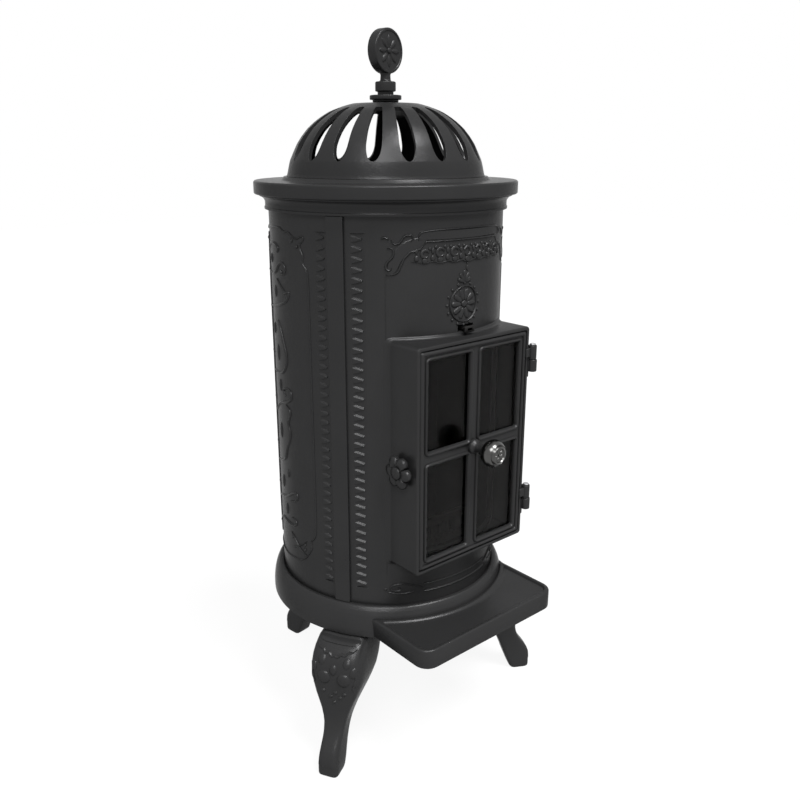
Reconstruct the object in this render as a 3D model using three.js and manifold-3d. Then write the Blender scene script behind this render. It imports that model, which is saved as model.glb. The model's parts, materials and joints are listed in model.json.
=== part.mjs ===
// A round cast-iron room stove on three legs, with a glazed door and an openwork dome.
// Millimetres. The stove's axis is the Z axis, the floor is z = 0 and the door faces -Y.
// Angles round the stove are counted in degrees from the front (-Y) towards +X.
import * as THREE from 'three';
import { mergeVertices } from 'three/addons/utils/BufferGeometryUtils.js';
import Module from 'manifold-3d';

const wasm = await Module();
wasm.setup();

// ---------------------------------------------------------------- driving dimensions

const GAP = 0.3; // room between castings that touch
const RUNNING = 0.5; // room round a piece that moves
const SIDES = 60; // facets round the stove

const REACH = 258.6; // axis to the door knob's face
const HEARTH_REACH = 252.9; // axis to the hearth plate's front edge
const LEG_HEIGHT = 211.7;
const LEG_KNEE_WIDTH = 87;
const LEG_ANGLES = { leg_front_left: -62, leg_front_right: 62, leg_rear: -171 };
const LEG_EXTRA = { leg_front_left: 6.4, leg_front_right: 6.4, leg_rear: 3.2 }; // REACH to each toe
const LEG_SETBACK = 18; // edge of the base ring to a leg's bolt

const BASE_RADIUS = 194; // at the foot of the flared base ring
const BASE_HEIGHT = 46.8;
const BASE_WALL = 8;
const BASE_FLOOR = 6;
const SHELF_HEIGHT = 40; // underside of the base to the shelf that the shell stands on
const SHELF_THICKNESS = 8;
const SHELF_WIDTH = 24;
const LIP_WIDTH = 4.5; // of the lips that hold the shell's ends
const LIP_GAP = 1.2; // dark gap round the shell's foot
const BASE_FLARE = { start: 0.22, middle: 0.6, inset: 0.5 }; // shares of its height, and its draw inwards
const BASE_HAUNCH = { share: 0.5, inset: 4 }; // where the inside of the wall starts to slope in

const BODY_RADIUS = 176;
const BODY_WALL = 7;
const BODY_HEIGHT = 575.4; // from the base ring's lip to the cornice's lip
const JOINT_ANGLE = 62; // of the joint between front and side panels
const STRIP_HALF_ANGLE = 4; // of the cover strips over the joints
const STRIP_THICKNESS = 2.6;

const CORNICE_HEIGHT = 21.2;
const CORNICE_LAP = 4; // the cornice's lip over the shell's top
const CORNICE_WEB = 8;
const CORNICE_SHOULDER = 6; // of the cornice inside its lip
const SLAB_RADIUS = 196.2;
const SLAB_EDGE = 19.1;
const SLAB_CROWN = 5; // raised seat of the dome
const SLAB_WALL = 10;
const SLAB_FOOT = { inset: 2, rise: 3 }; // bevel under the slab's edge
const SLAB_BROW = { inset: 2.5, drop: 3.5 }; // bevel over the slab's edge
const SLAB_SEAT = { foot: 7, top: 4 }; // the raised seat outside the dome's foot
const SLAB_HOLLOW = 8; // slope between the slab's centre and its bearing

const DOME_FOOT_RADIUS = 147.5;
const DOME_HEIGHT = 101.4;
const DOME_WALL = 6;
const DOME_SLOTS = 18;
const DOME_PHASE = 3.6; // angle of the rib nearest the front

const BOSS_RADIUS = 23;
const BOSS_HEIGHT = 9.8;
const BOSS_SOFT = 2; // bevels of the boss
const COLLAR_RADIUS = 14.7;
const COLLAR_HEIGHT = 18.5; // boss to the collar's top, with the groove under it
const NECK_RADIUS = 7.2;
const NECK_HEIGHT = 12;
const MEDALLION_RADIUS = 30.5;
const MEDALLION_THICKNESS = 18;
const MEDALLION_YAW = 13;
const MEDALLION_SOFT = 3; // bevel round its rim
const MEDALLION_FLAT = 1.6; // cut off its rim, where it sits on the neck

const HOUSING_WIDTH = 221.4;
const HOUSING_HEIGHT = 336.6;
const HOUSING_SILL = 72.4; // base ring's lip to the housing
const HOUSING_REACH = 23.5; // front of the body to the housing's front
const HOUSING_WALL = 8;
const HOUSING_RIM = 5.3; // visible border round the door
const HOUSING_CORNER = 5;
const SEAL_SEAT = 8; // thickness of the flange that the door closes against
const SEAL_ROOM = 2; // door's back to that flange, filled by the rope
const PANEL_LAP = 4; // of the front panel's opening inside the housing's walls

const DOOR_PLAY = 1; // round the door, inside the rim
const DOOR_PROUD = 1; // of the housing's front
const DOOR_THICKNESS = 11.5;
const DOOR_STILE = 14.4; // door's edge to a pane
const MUNTIN = 22;
const MUNTIN_RISE = 6; // the cross bar above the door's middle
const DOOR_CHAMFER = 2.4;
const GLASS_THICKNESS = 4;
const GLASS_LAP = 2.6; // of the frame over the glass
const ROPE = 5.4;
const ROPE_INSET = 0.5; // door's edge to the rope

const HINGE_PIN_RADIUS = 3;
const HINGE_KNUCKLE = 6.3;
const HINGE_LUG_HEIGHT = 22;
const HINGE_EAR_HEIGHT = 18.7;
const HINGE_FROM_TOP = 51; // housing's top to the joint of the upper hinge
const HINGE_FROM_BOTTOM = 60;
const HINGE_EAR = { extra: 0.7, web: 11, webPast: 2 };
const HINGE_PAD = { drop: 9, thickness: 3.5, start: 2, depth: 24 }; // the ear's pad on the housing's side
const HINGE_ARM = { reach: 11, thickness: 4, step: 2 }; // the lug's arm on the door
const HINGE_HEAD = { extra: 1.6, height: 2 }; // of the pin

const KNOB_RADIUS = 18.5;
const KNOB_FLATNESS = 0.93; // of the ball, along its stem
const KNOB_STEM = 7;
const KNOB_FOOT = { extra: 4, edge: 3, top: 6 }; // the stem's foot on the door
const KNOB_START = -60; // angle on the ball where its back begins

const LATCH_RADIUS = 25;
const LATCH_LOBES = 6;
const LATCH_HEIGHT = 156; // housing's bottom to the latch's axis
const LATCH_SETBACK = 29; // housing's front to the latch's axis
const LATCH_SHAFT = 5;
const LATCH_CAM_THICKNESS = 4.5;
const LATCH_CAM_REACH = 15.5;
const LATCH_PEG = 2.5;
const LATCH_HUB = 3; // of the cam's hub outside the shaft
const LATCH_FINGER = 4; // half width of the cam's finger
const LATCH_SOCKET = 10; // depth of the shaft's hole in the knob
const LATCH_PLAY = 1.5; // between the catch and the turning cam
const CATCH = { half: 4, thickness: 5, past: 1.5 }; // the arm that carries the peg

const SLIDE_SLOT_WIDTH = 30;
const SLIDE_SLOT_HEIGHT = 12;
const SLIDE_TRAVEL = 8; // each way
const SLIDE_LAP = 3; // of the slide's plate over the slot's edges
const SLIDE_THICKNESS = 3;
const SLIDE_TAB = { half: 6, thickness: 4, reach: 9, grip: 8, gripDepth: 3 };
const SLIDE_RAIL = 3;
const SLIDE_BACK = 2;

const LINING_COUNT = 5;
const LINING_PITCH = 52;
const LINING_THICKNESS = 24;
const LINING_SETBACK = 19; // shell to the lining, with the tie rods between
const LINING_TOP = 395; // base ring's lip to the lining's top
const GRATE_BORDER = 10; // lining to the grate's corners
const GRATE_THICKNESS = 10;
const GRATE_SINK = 4; // into the floor plate
const GRATE_LEDGE = 6; // of the floor plate under the grate's edge
const GRATE_SLOTS = 8;
const GRATE_EDGE = 12; // grate's edge to its slots
const PAN = { height: 22, wall: 2, play: 3 };
const FLOOR_THICKNESS = 8;
const BAFFLE = { thickness: 8, lap: 14, front: 70 }; // its lap on the lining, and axis to its front edge
const LOG_GUARD = { rise: 60, height: 48, thickness: 7, border: 12, foot: 18, inset: 24, windows: 5 };
const ROD_RADIUS = 4;
const ROD_SETBACK = 9; // shell to a tie rod's axis
const BOLT_PLAY = 1; // at the end of a blind hole

const FLUE_RADIUS = 61; // outside of the collar
const FLUE_WALL = 5;
const FLUE_HEIGHT = 486; // base ring's lip to the collar's axis
const FLUE_REACH = 58; // body to the collar's end
const FLUE_FLANGE = 16; // flange beyond the collar

// ---------------------------------------------------------------- materials

function finish(color, roughness, metalness) {
  return new THREE.MeshStandardMaterial({ color, roughness, metalness });
}

const IRON = finish(0x2b2b2c, 0.62, 0.45);
const DARK_IRON = finish(0x1f1f20, 0.75, 0.4);
const STEEL = finish(0x8a8a8c, 0.3, 1);
const SOOT_STEEL = finish(0x4a4a4c, 0.5, 0.9);
const GLASS = finish(0x1c1f22, 0.08, 0);
const BRICK = finish(0x8d8170, 0.95, 0);
const ROPE_GREY = finish(0x5b5b58, 1, 0);

// ---------------------------------------------------------------- helpers

const radians = THREE.MathUtils.degToRad;

// The geometry with shared corners, without empty triangles and with its faces pointing out.
function weld(geometry) {
  const plain = geometry.clone();
  plain.deleteAttribute('normal');
  plain.deleteAttribute('uv');
  const merged = mergeVertices(plain, 1e-4);
  const at = merged.attributes.position;
  const corners = merged.index.array;
  const kept = [];
  let volume = 0;
  const [a, b, c] = [new THREE.Vector3(), new THREE.Vector3(), new THREE.Vector3()];
  for (let i = 0; i < corners.length; i += 3) {
    const [p, q, r] = [corners[i], corners[i + 1], corners[i + 2]];
    if (p === q || q === r || r === p) continue;
    kept.push(p, q, r);
    a.fromBufferAttribute(at, p);
    b.fromBufferAttribute(at, q);
    c.fromBufferAttribute(at, r);
    volume += a.dot(b.cross(c));
  }
  if (volume < 0) kept.reverse();
  merged.setIndex(kept);
  return merged;
}

function solid(geometry) {
  const closed = weld(geometry);
  return new wasm.Manifold(new wasm.Mesh({
    numProp: 3,
    vertProperties: new Float32Array(closed.attributes.position.array),
    triVerts: new Uint32Array(closed.index.array),
  }));
}

function geometryOf(manifold) {
  const mesh = manifold.getMesh();
  const geometry = new THREE.BufferGeometry();
  geometry.setAttribute('position', new THREE.BufferAttribute(new Float32Array(mesh.vertProperties), 3));
  geometry.setIndex(new THREE.BufferAttribute(new Uint32Array(mesh.triVerts), 1));
  return geometry;
}

const join = (...pieces) => geometryOf(pieces.map(solid).reduce((all, piece) => all.add(piece)));
const cut = (base, ...tools) => geometryOf(
  tools.map(solid).reduce((left, tool) => left.subtract(tool), solid(base)),
);

// A body turned round the stove's axis from [radius, height] points.
function revolve(profile, sides = SIDES) {
  const points = profile.map(([r, z]) => new THREE.Vector2(r, z));
  const [first, last] = [profile[0], profile[profile.length - 1]];
  if (first[0] > 0 || last[0] > 0) points.push(points[0].clone());
  return weld(new THREE.LatheGeometry(points, sides).rotateX(Math.PI / 2));
}

// A box between two opposite corners.
function block([x0, y0, z0], [x1, y1, z1]) {
  const box = new THREE.BoxGeometry(Math.abs(x1 - x0), Math.abs(y1 - y0), Math.abs(z1 - z0));
  return box.translate((x0 + x1) / 2, (y0 + y1) / 2, (z0 + z1) / 2);
}

// A round bar from one point to another.
function rod(radius, from, to, sides = 16) {
  const start = new THREE.Vector3(...from);
  const along = new THREE.Vector3(...to).sub(start);
  const length = along.length();
  const bar = new THREE.CylinderGeometry(radius, radius, length, sides).translate(0, length / 2, 0);
  const turn = new THREE.Quaternion().setFromUnitVectors(new THREE.Vector3(0, 1, 0), along.normalize());
  return weld(bar.applyQuaternion(turn).translate(start.x, start.y, start.z));
}

// A rectangle with round corners, as a shape or as a hole.
function roundedRectangle(x0, x1, y0, y1, radius, Kind = THREE.Shape) {
  const outline = new Kind();
  outline.moveTo(x0 + radius, y0);
  outline.lineTo(x1 - radius, y0);
  outline.absarc(x1 - radius, y0 + radius, radius, -Math.PI / 2, 0);
  outline.lineTo(x1, y1 - radius);
  outline.absarc(x1 - radius, y1 - radius, radius, 0, Math.PI / 2);
  outline.lineTo(x0 + radius, y1);
  outline.absarc(x0 + radius, y1 - radius, radius, Math.PI / 2, Math.PI);
  outline.lineTo(x0, y0 + radius);
  outline.absarc(x0 + radius, y0 + radius, radius, Math.PI, 1.5 * Math.PI);
  return outline;
}

// A shape drawn in X and Y and raised along Z.
function raise(shape, z0, z1, curveSegments = 3) {
  const depth = z1 - z0;
  return new THREE.ExtrudeGeometry(shape, { depth, bevelEnabled: false, curveSegments }).translate(0, 0, z0);
}

// A shape drawn in X and Z, as seen from the front, and pushed back along Y.
function push(shape, y0, y1, curveSegments = 3, bevel = 0) {
  const settings = {
    depth: y1 - y0 - 2 * bevel,
    bevelEnabled: bevel > 0,
    bevelThickness: bevel,
    bevelSize: bevel,
    bevelOffset: -bevel,
    bevelSegments: 1,
    curveSegments,
  };
  return new THREE.ExtrudeGeometry(shape, settings).rotateX(Math.PI / 2).translate(0, y1 - bevel, 0);
}

// A curved plate round the stove's axis, between two radii, two angles and two heights.
function curvedPlate(inner, outer, from, to, z0, z1) {
  const [start, end] = [radians(from - 90), radians(to - 90)];
  const shape = new THREE.Shape();
  shape.absarc(0, 0, outer, start, end, false);
  shape.absarc(0, 0, inner, end, start, true);
  const steps = Math.max(1, Math.round((Math.abs(to - from) / 360) * (SIDES / 2)));
  return raise(shape, z0, z1, steps);
}

// A skin through rings of points, closed at both ends.
function loft(rings) {
  const count = rings[0].length;
  const position = rings.flat().flatMap((point) => [point.x, point.y, point.z]);
  const index = [];
  for (let ring = 0; ring + 1 < rings.length; ring += 1) {
    for (let side = 0; side < count; side += 1) {
      const next = (side + 1) % count;
      const [a, b] = [ring * count + side, ring * count + next];
      index.push(a, b, b + count, a, b + count, a + count);
    }
  }
  const last = (rings.length - 1) * count;
  for (let side = 1; side + 1 < count; side += 1) {
    index.push(0, side + 1, side, last, last + side, last + side + 1);
  }
  const skin = new THREE.BufferGeometry();
  skin.setAttribute('position', new THREE.Float32BufferAttribute(position, 3));
  skin.setIndex(index);
  return weld(skin);
}

const around = (geometry, degrees) => geometry.clone().rotateZ(radians(degrees));
const onFront = (radius, x) => -Math.sqrt(radius * radius - x * x);

const stove = new THREE.Group();
stove.name = 'stove';

function place(parent, name, geometry, material) {
  const mesh = new THREE.Mesh(weld(geometry), material);
  mesh.name = name;
  parent.add(mesh);
  return mesh;
}

// ---------------------------------------------------------------- heights and radii

const baseTop = LEG_HEIGHT + BASE_HEIGHT;
const shelfTop = LEG_HEIGHT + SHELF_HEIGHT;
const lipInner = BODY_RADIUS + LIP_GAP;
const lipOuter = lipInner + LIP_WIDTH;
const panelInner = BODY_RADIUS - BODY_WALL;
const corniceBottom = baseTop + BODY_HEIGHT;
const corniceTop = corniceBottom + CORNICE_HEIGHT;
const panelTop = corniceBottom + CORNICE_LAP - GAP;
const slabTop = corniceTop + SLAB_EDGE;
const seatTop = slabTop + SLAB_CROWN;
const shelfInner = panelInner - SHELF_WIDTH;

// ---------------------------------------------------------------- base

const flare = new THREE.QuadraticBezierCurve(
  new THREE.Vector2(BASE_RADIUS, LEG_HEIGHT + BASE_FLARE.start * BASE_HEIGHT),
  new THREE.Vector2(BASE_RADIUS - BASE_FLARE.inset, LEG_HEIGHT + BASE_FLARE.middle * BASE_HEIGHT),
  new THREE.Vector2(lipOuter, baseTop),
).getPoints(5).map((point) => [point.x, point.y]);

function baseProfile(offset) {
  return flare.map(([r, z]) => [r + offset, z]);
}

function baseRing() {
  const wallInner = BASE_RADIUS - BASE_WALL;
  const floorTop = LEG_HEIGHT + BASE_FLOOR;
  const shelfBottom = shelfTop - SHELF_THICKNESS;
  const pan = revolve([
    [0, LEG_HEIGHT],
    [BASE_RADIUS, LEG_HEIGHT],
    ...baseProfile(0),
    [lipInner, baseTop],
    [lipInner, shelfTop],
    [shelfInner, shelfTop],
    [shelfInner, shelfBottom],
    [panelInner, shelfBottom],
    [wallInner - BASE_HAUNCH.inset, LEG_HEIGHT + BASE_HAUNCH.share * BASE_HEIGHT],
    [wallInner, floorTop],
    [0, floorTop],
  ]);
  return cut(pan, ...legBoltHoles(), ...hearthBoltHoles(), ...rodHoles(shelfBottom, shelfTop));
}

const LEG_BOLT = { radius: 4, head: 7, headHeight: 5.5, depth: 24, circle: BASE_RADIUS - LEG_SETBACK };

function legBoltHoles() {
  return Object.values(LEG_ANGLES).map((angle) => around(legBoltHole(), angle));
}

function legBoltHole() {
  const { radius, circle, depth } = LEG_BOLT;
  const top = LEG_HEIGHT + BASE_FLOOR + 1;
  return rod(radius + GAP, [0, -circle, LEG_HEIGHT - depth], [0, -circle, top], 12);
}

function legBolt() {
  const { radius, circle, depth, head, headHeight } = LEG_BOLT;
  const seat = LEG_HEIGHT + BASE_FLOOR + GAP;
  const shank = rod(radius, [0, -circle, LEG_HEIGHT - depth + BOLT_PLAY], [0, -circle, seat + 1], 12);
  const hexagon = rod(head, [0, -circle, seat], [0, -circle, seat + headHeight], 6);
  return join(shank, hexagon);
}

// Stations down a leg: share of its height, inner and outer distance from the line that runs
// from the bolt to the toe, and share of the knee's width.
const LEG_STATIONS = [
  [1.0, -21, 14, 0.72],
  [0.975, -22, 27, 0.8],
  [0.94, -22.5, 36, 0.88],
  [0.86, -20, 46.5, 1.0],
  [0.76, -18, 41.5, 0.98],
  [0.64, -18, 29.5, 0.82],
  [0.52, -18, 16.5, 0.64],
  [0.4, -21, 5, 0.45],
  [0.33, -24.5, 1.5, 0.37],
  [0.26, -27.5, 5.5, 0.34],
  [0.2, -30, 11.5, 0.34],
  [0.13, -36, 10.6, 0.34],
  [0.06, -41.5, 4.3, 0.34],
  [0.0, -31, -3.5, 0.32],
];
const LEG_SECTION_SIDES = 16;
const LEG_FRONT_SQUARENESS = 0.62; // exponent of the section's outline, smaller is squarer
const LEG_BACK_SQUARENESS = 0.3;

function leg(reach) {
  const top = LEG_HEIGHT - GAP;
  const rings = LEG_STATIONS.map(([share, inner, outer, width]) => {
    const line = reach + share * (LEG_BOLT.circle - reach);
    const middle = line + (inner + outer) / 2;
    const halfDepth = (outer - inner) / 2;
    const halfWidth = (width * LEG_KNEE_WIDTH) / 2;
    return Array.from({ length: LEG_SECTION_SIDES }, (_, side) => {
      const turn = ((side + 0.5) / LEG_SECTION_SIDES) * 2 * Math.PI;
      const [c, s] = [Math.cos(turn), Math.sin(turn)];
      const squareness = c > 0 ? LEG_FRONT_SQUARENESS : LEG_BACK_SQUARENESS;
      const round = (value) => Math.sign(value) * Math.abs(value) ** squareness;
      return new THREE.Vector3(halfWidth * round(s), -(middle + halfDepth * round(c)), share * top);
    });
  });
  return cut(loft(rings), legBoltHole());
}

// ---------------------------------------------------------------- hearth plate

const HEARTH = {
  width: 278.4, thickness: 30, lift: 1.3, corner: 22, rim: 9, recess: 3, deck: 6, wall: 7, apron: 10,
};
const HEARTH_BOLT = { radius: 3, head: 5.5, headHeight: 4, spread: 60, grip: 7, rise: 0.3, seat: 3 };
const hearthBottom = LEG_HEIGHT + HEARTH.lift;
const hearthTop = hearthBottom + HEARTH.thickness;

function hearthPlate() {
  const half = HEARTH.width / 2;
  const rear = onFront(BASE_RADIUS, half) + 30;
  const outline = (inset, back) => roundedRectangle(-half + inset, half - inset, -HEARTH_REACH + inset, back,
    Math.max(HEARTH.corner - inset, 2));
  const ring = revolve([
    [0, hearthBottom - 1], [BASE_RADIUS + GAP, hearthBottom - 1], ...baseProfile(GAP), [0, baseTop + 1],
  ]);
  const behind = block([-half - 1, rear - 30, hearthBottom - 1], [half + 1, rear + 60, hearthTop + 1]);
  const apron = revolve([
    [0, hearthBottom - 2],
    [BASE_RADIUS + GAP + HEARTH.apron, hearthBottom - 2],
    [BASE_RADIUS + GAP + HEARTH.apron, hearthTop + 2],
    [0, hearthTop + 2],
  ]);
  const body = raise(outline(0, rear), hearthBottom, hearthTop);
  const recess = raise(outline(HEARTH.rim, rear + 1), hearthTop - HEARTH.recess, hearthTop + 1);
  const pocketTop = hearthTop - HEARTH.recess - HEARTH.deck;
  const pocket = cut(raise(outline(HEARTH.wall, rear + 1), hearthBottom - 1, pocketTop), apron);
  return cut(body, recess, pocket, ring, behind, ...hearthBoltHoles());
}

function hearthBoltLine(x) {
  const z = LEG_HEIGHT + HEARTH_BOLT.rise * BASE_HEIGHT;
  const back = onFront(BASE_RADIUS - BASE_WALL, Math.abs(x) + HEARTH_BOLT.head) + HEARTH_BOLT.seat;
  const front = onFront(BASE_RADIUS, x) - HEARTH_BOLT.grip;
  return { z, back, front };
}

const HEARTH_BOLTS = { hearth_bolt_left: -HEARTH_BOLT.spread, hearth_bolt_right: HEARTH_BOLT.spread };

function hearthBoltHoles() {
  return Object.values(HEARTH_BOLTS).map((x) => {
    const { z, back, front } = hearthBoltLine(x);
    return rod(HEARTH_BOLT.radius + GAP, [x, back + 1, z], [x, front - 1, z], 12);
  });
}

function hearthBolt(x) {
  const { z, back, front } = hearthBoltLine(x);
  const shank = rod(HEARTH_BOLT.radius, [x, back + 1, z], [x, front, z], 12);
  return join(shank, rod(HEARTH_BOLT.head, [x, back, z], [x, back + HEARTH_BOLT.headHeight, z], 6));
}

// ---------------------------------------------------------------- tie rods

const liningAngles = Array.from({ length: LINING_COUNT },
  (_, i) => 180 + (i - (LINING_COUNT - 1) / 2) * LINING_PITCH);
const rodAngles = liningAngles.filter((angle) => angle !== 180); // none in front of the flue
const rodCircle = panelInner - ROD_SETBACK;
const NUT = { radius: 7.5, height: 6, past: 1.5 };
const webBottom = corniceBottom + CORNICE_LAP;
const webTop = webBottom + CORNICE_WEB;

function rodHoles(z0, z1) {
  const hole = rod(ROD_RADIUS + GAP, [0, -rodCircle, z0 - 1], [0, -rodCircle, z1 + 1], 12);
  return rodAngles.map((angle) => around(hole, angle));
}

// A tie rod with its nut under the shelf and its head on the cornice's web.
function tieRod() {
  const nutTop = shelfTop - SHELF_THICKNESS - GAP;
  const headBottom = webTop + GAP;
  const tip = nutTop - NUT.height - NUT.past;
  const bar = rod(ROD_RADIUS, [0, -rodCircle, tip], [0, -rodCircle, headBottom + 1], 12);
  const nut = rod(NUT.radius, [0, -rodCircle, nutTop - NUT.height], [0, -rodCircle, nutTop], 6);
  const head = rod(NUT.radius, [0, -rodCircle, headBottom], [0, -rodCircle, headBottom + NUT.height], 6);
  return join(bar, nut, head);
}

// ---------------------------------------------------------------- housing and door frame sizes

const housingHalf = HOUSING_WIDTH / 2;
const housingBottom = baseTop + HOUSING_SILL;
const housingTop = housingBottom + HOUSING_HEIGHT;
const housingFront = -(BODY_RADIUS + HOUSING_REACH);
const doorHalf = housingHalf - HOUSING_RIM - DOOR_PLAY;
const doorBottom = housingBottom + HOUSING_RIM + DOOR_PLAY;
const doorTop = housingTop - HOUSING_RIM - DOOR_PLAY;
const doorFront = housingFront - DOOR_PROUD;
const doorBack = doorFront + DOOR_THICKNESS;
const seatFront = doorBack + SEAL_ROOM; // the housing's flange, behind the door
const seatBack = seatFront + SEAL_SEAT;
const seatBorder = ROPE_INSET + ROPE + 2 * GAP; // width of the flange

// A rectangle inset from the housing's outline, seen from the front.
function housingOutline(inset, radius = HOUSING_CORNER, Kind = THREE.Shape) {
  const half = housingHalf - inset;
  return roundedRectangle(-half, half, housingBottom + inset, housingTop - inset, radius, Kind);
}

const latchZ = housingBottom + LATCH_HEIGHT;
const latchY = housingFront + LATCH_SETBACK;

function latchHole() {
  const [outside, inside] = [-housingHalf - 1, -housingHalf + HOUSING_WALL + 1];
  return rod(LATCH_SHAFT + GAP, [outside, latchY, latchZ], [inside, latchY, latchZ]);
}

function doorHousing() {
  const back = onFront(BODY_RADIUS, housingHalf) + 1;
  const box = push(housingOutline(0), housingFront, back);
  const rebate = push(housingOutline(HOUSING_RIM, 3), housingFront - 1, seatFront);
  const opening = push(housingOutline(HOUSING_RIM + DOOR_PLAY + seatBorder, 3), housingFront - 1, back + 1);
  const throat = push(housingOutline(HOUSING_WALL, 3), seatBack, back + 1);
  const body = revolve([
    [0, housingBottom - 1], [BODY_RADIUS + GAP, housingBottom - 1], [BODY_RADIUS + GAP, housingTop + 1],
    [0, housingTop + 1],
  ]);
  return cut(box, rebate, opening, throat, body, latchHole());
}

// ---------------------------------------------------------------- shell panels and strips

const panelBottom = shelfTop + GAP;
const slotBottom = housingTop + 3;
const slotTop = slotBottom + SLIDE_SLOT_HEIGHT;

function flueBore(radius) {
  const z = baseTop + FLUE_HEIGHT;
  return rod(radius, [0, 0.6 * BODY_RADIUS, z], [0, BODY_RADIUS + FLUE_REACH + 1, z], 28);
}

function frontPanel() {
  const opening = push(housingOutline(HOUSING_WALL + PANEL_LAP, 6), -BODY_RADIUS - 5, 0);
  const slotHalf = SLIDE_SLOT_WIDTH / 2;
  const edge = JOINT_ANGLE - 0.1;
  const plate = curvedPlate(panelInner, BODY_RADIUS, -edge, edge, panelBottom, panelTop);
  return cut(plate, opening, block([-slotHalf, -BODY_RADIUS - 5, slotBottom], [slotHalf, 0, slotTop]));
}

function sidePanel(side) {
  const [from, to] = [side * (JOINT_ANGLE + 0.1), side * 179.9].sort((a, b) => a - b);
  const plate = curvedPlate(panelInner, BODY_RADIUS, from, to, panelBottom, panelTop);
  return cut(plate, flueBore(FLUE_RADIUS - FLUE_WALL), ...flueBoltHoles());
}

// The rear strip ends under the flue collar's flange, the other two under the cornice.
const COVER_STRIPS = {
  left: [-JOINT_ANGLE, corniceBottom - GAP],
  right: [JOINT_ANGLE, corniceBottom - GAP],
  rear: [180, baseTop + FLUE_HEIGHT - FLUE_RADIUS - FLUE_FLANGE - 1],
};

function coverStrip(angle, top) {
  const [inner, outer] = [BODY_RADIUS + GAP, BODY_RADIUS + GAP + STRIP_THICKNESS];
  return curvedPlate(inner, outer, angle - STRIP_HALF_ANGLE, angle + STRIP_HALF_ANGLE, baseTop + GAP, top);
}

// ---------------------------------------------------------------- cornice and slab

// The moulding's face: distance outside the lip, and share of the cornice's height.
const CORNICE_FACE = [[-1, 0.2], [-1, 0.52], [0.5, 0.66], [3.5, 0.82], [7.5, 1]];

function cornice() {
  const ring = revolve([
    [lipInner, corniceBottom],
    [lipOuter, corniceBottom],
    ...CORNICE_FACE.map(([out, share]) => [lipOuter + out, corniceBottom + share * CORNICE_HEIGHT]),
    [lipInner - CORNICE_SHOULDER, corniceTop],
    [lipInner - CORNICE_SHOULDER, webTop],
    [shelfInner, webTop],
    [shelfInner, webBottom],
    [lipInner, webBottom],
  ]);
  return cut(ring, ...rodHoles(webBottom, webTop));
}

function topSlab() {
  const bottom = corniceTop + GAP;
  return revolve([
    [0, seatTop - SLAB_WALL],
    [shelfInner - SLAB_HOLLOW, seatTop - SLAB_WALL],
    [shelfInner, bottom],
    [SLAB_RADIUS - SLAB_FOOT.inset, bottom],
    [SLAB_RADIUS, bottom + SLAB_FOOT.rise],
    [SLAB_RADIUS, slabTop - SLAB_BROW.drop],
    [SLAB_RADIUS - SLAB_BROW.inset, slabTop],
    [DOME_FOOT_RADIUS + SLAB_SEAT.foot, slabTop],
    [DOME_FOOT_RADIUS + SLAB_SEAT.top, seatTop],
    [0, seatTop],
  ]);
}

// ---------------------------------------------------------------- dome

// Rows from the dome's foot to its crown: share of its height, radius over the foot's radius, and
// the slots' share of the pitch in the rows that they cross.
const DOME_ROWS = [
  [0, 1, 0], [0.04, 1, 0], [0.05, 0.985, 0], [0.13, 0.974, 0],
  [0.222, 0.957, 0.2], [0.26, 0.946, 0.37], [0.33, 0.924, 0.45], [0.445, 0.884, 0.48], [0.555, 0.835, 0.5],
  [0.666, 0.77, 0.51], [0.775, 0.68, 0.49], [0.87, 0.577, 0.43], [0.915, 0.51, 0.33],
  [0.965, 0.41, 0], [1, 0.3, 0],
];
const slotRows = DOME_ROWS.flatMap(([, , share], row) => (share > 0 ? [row] : []));
const DOME_OPEN = { from: slotRows[0], to: slotRows[slotRows.length - 1] };
const CLOSED_SHARE = 0.3; // width of the middle columns where no slot is
const CROWN_RISE = 1; // of the crown towards its middle
const FINIAL_BOLT = { radius: 4, head: 7.5, headHeight: 5, play: 2 };

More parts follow.
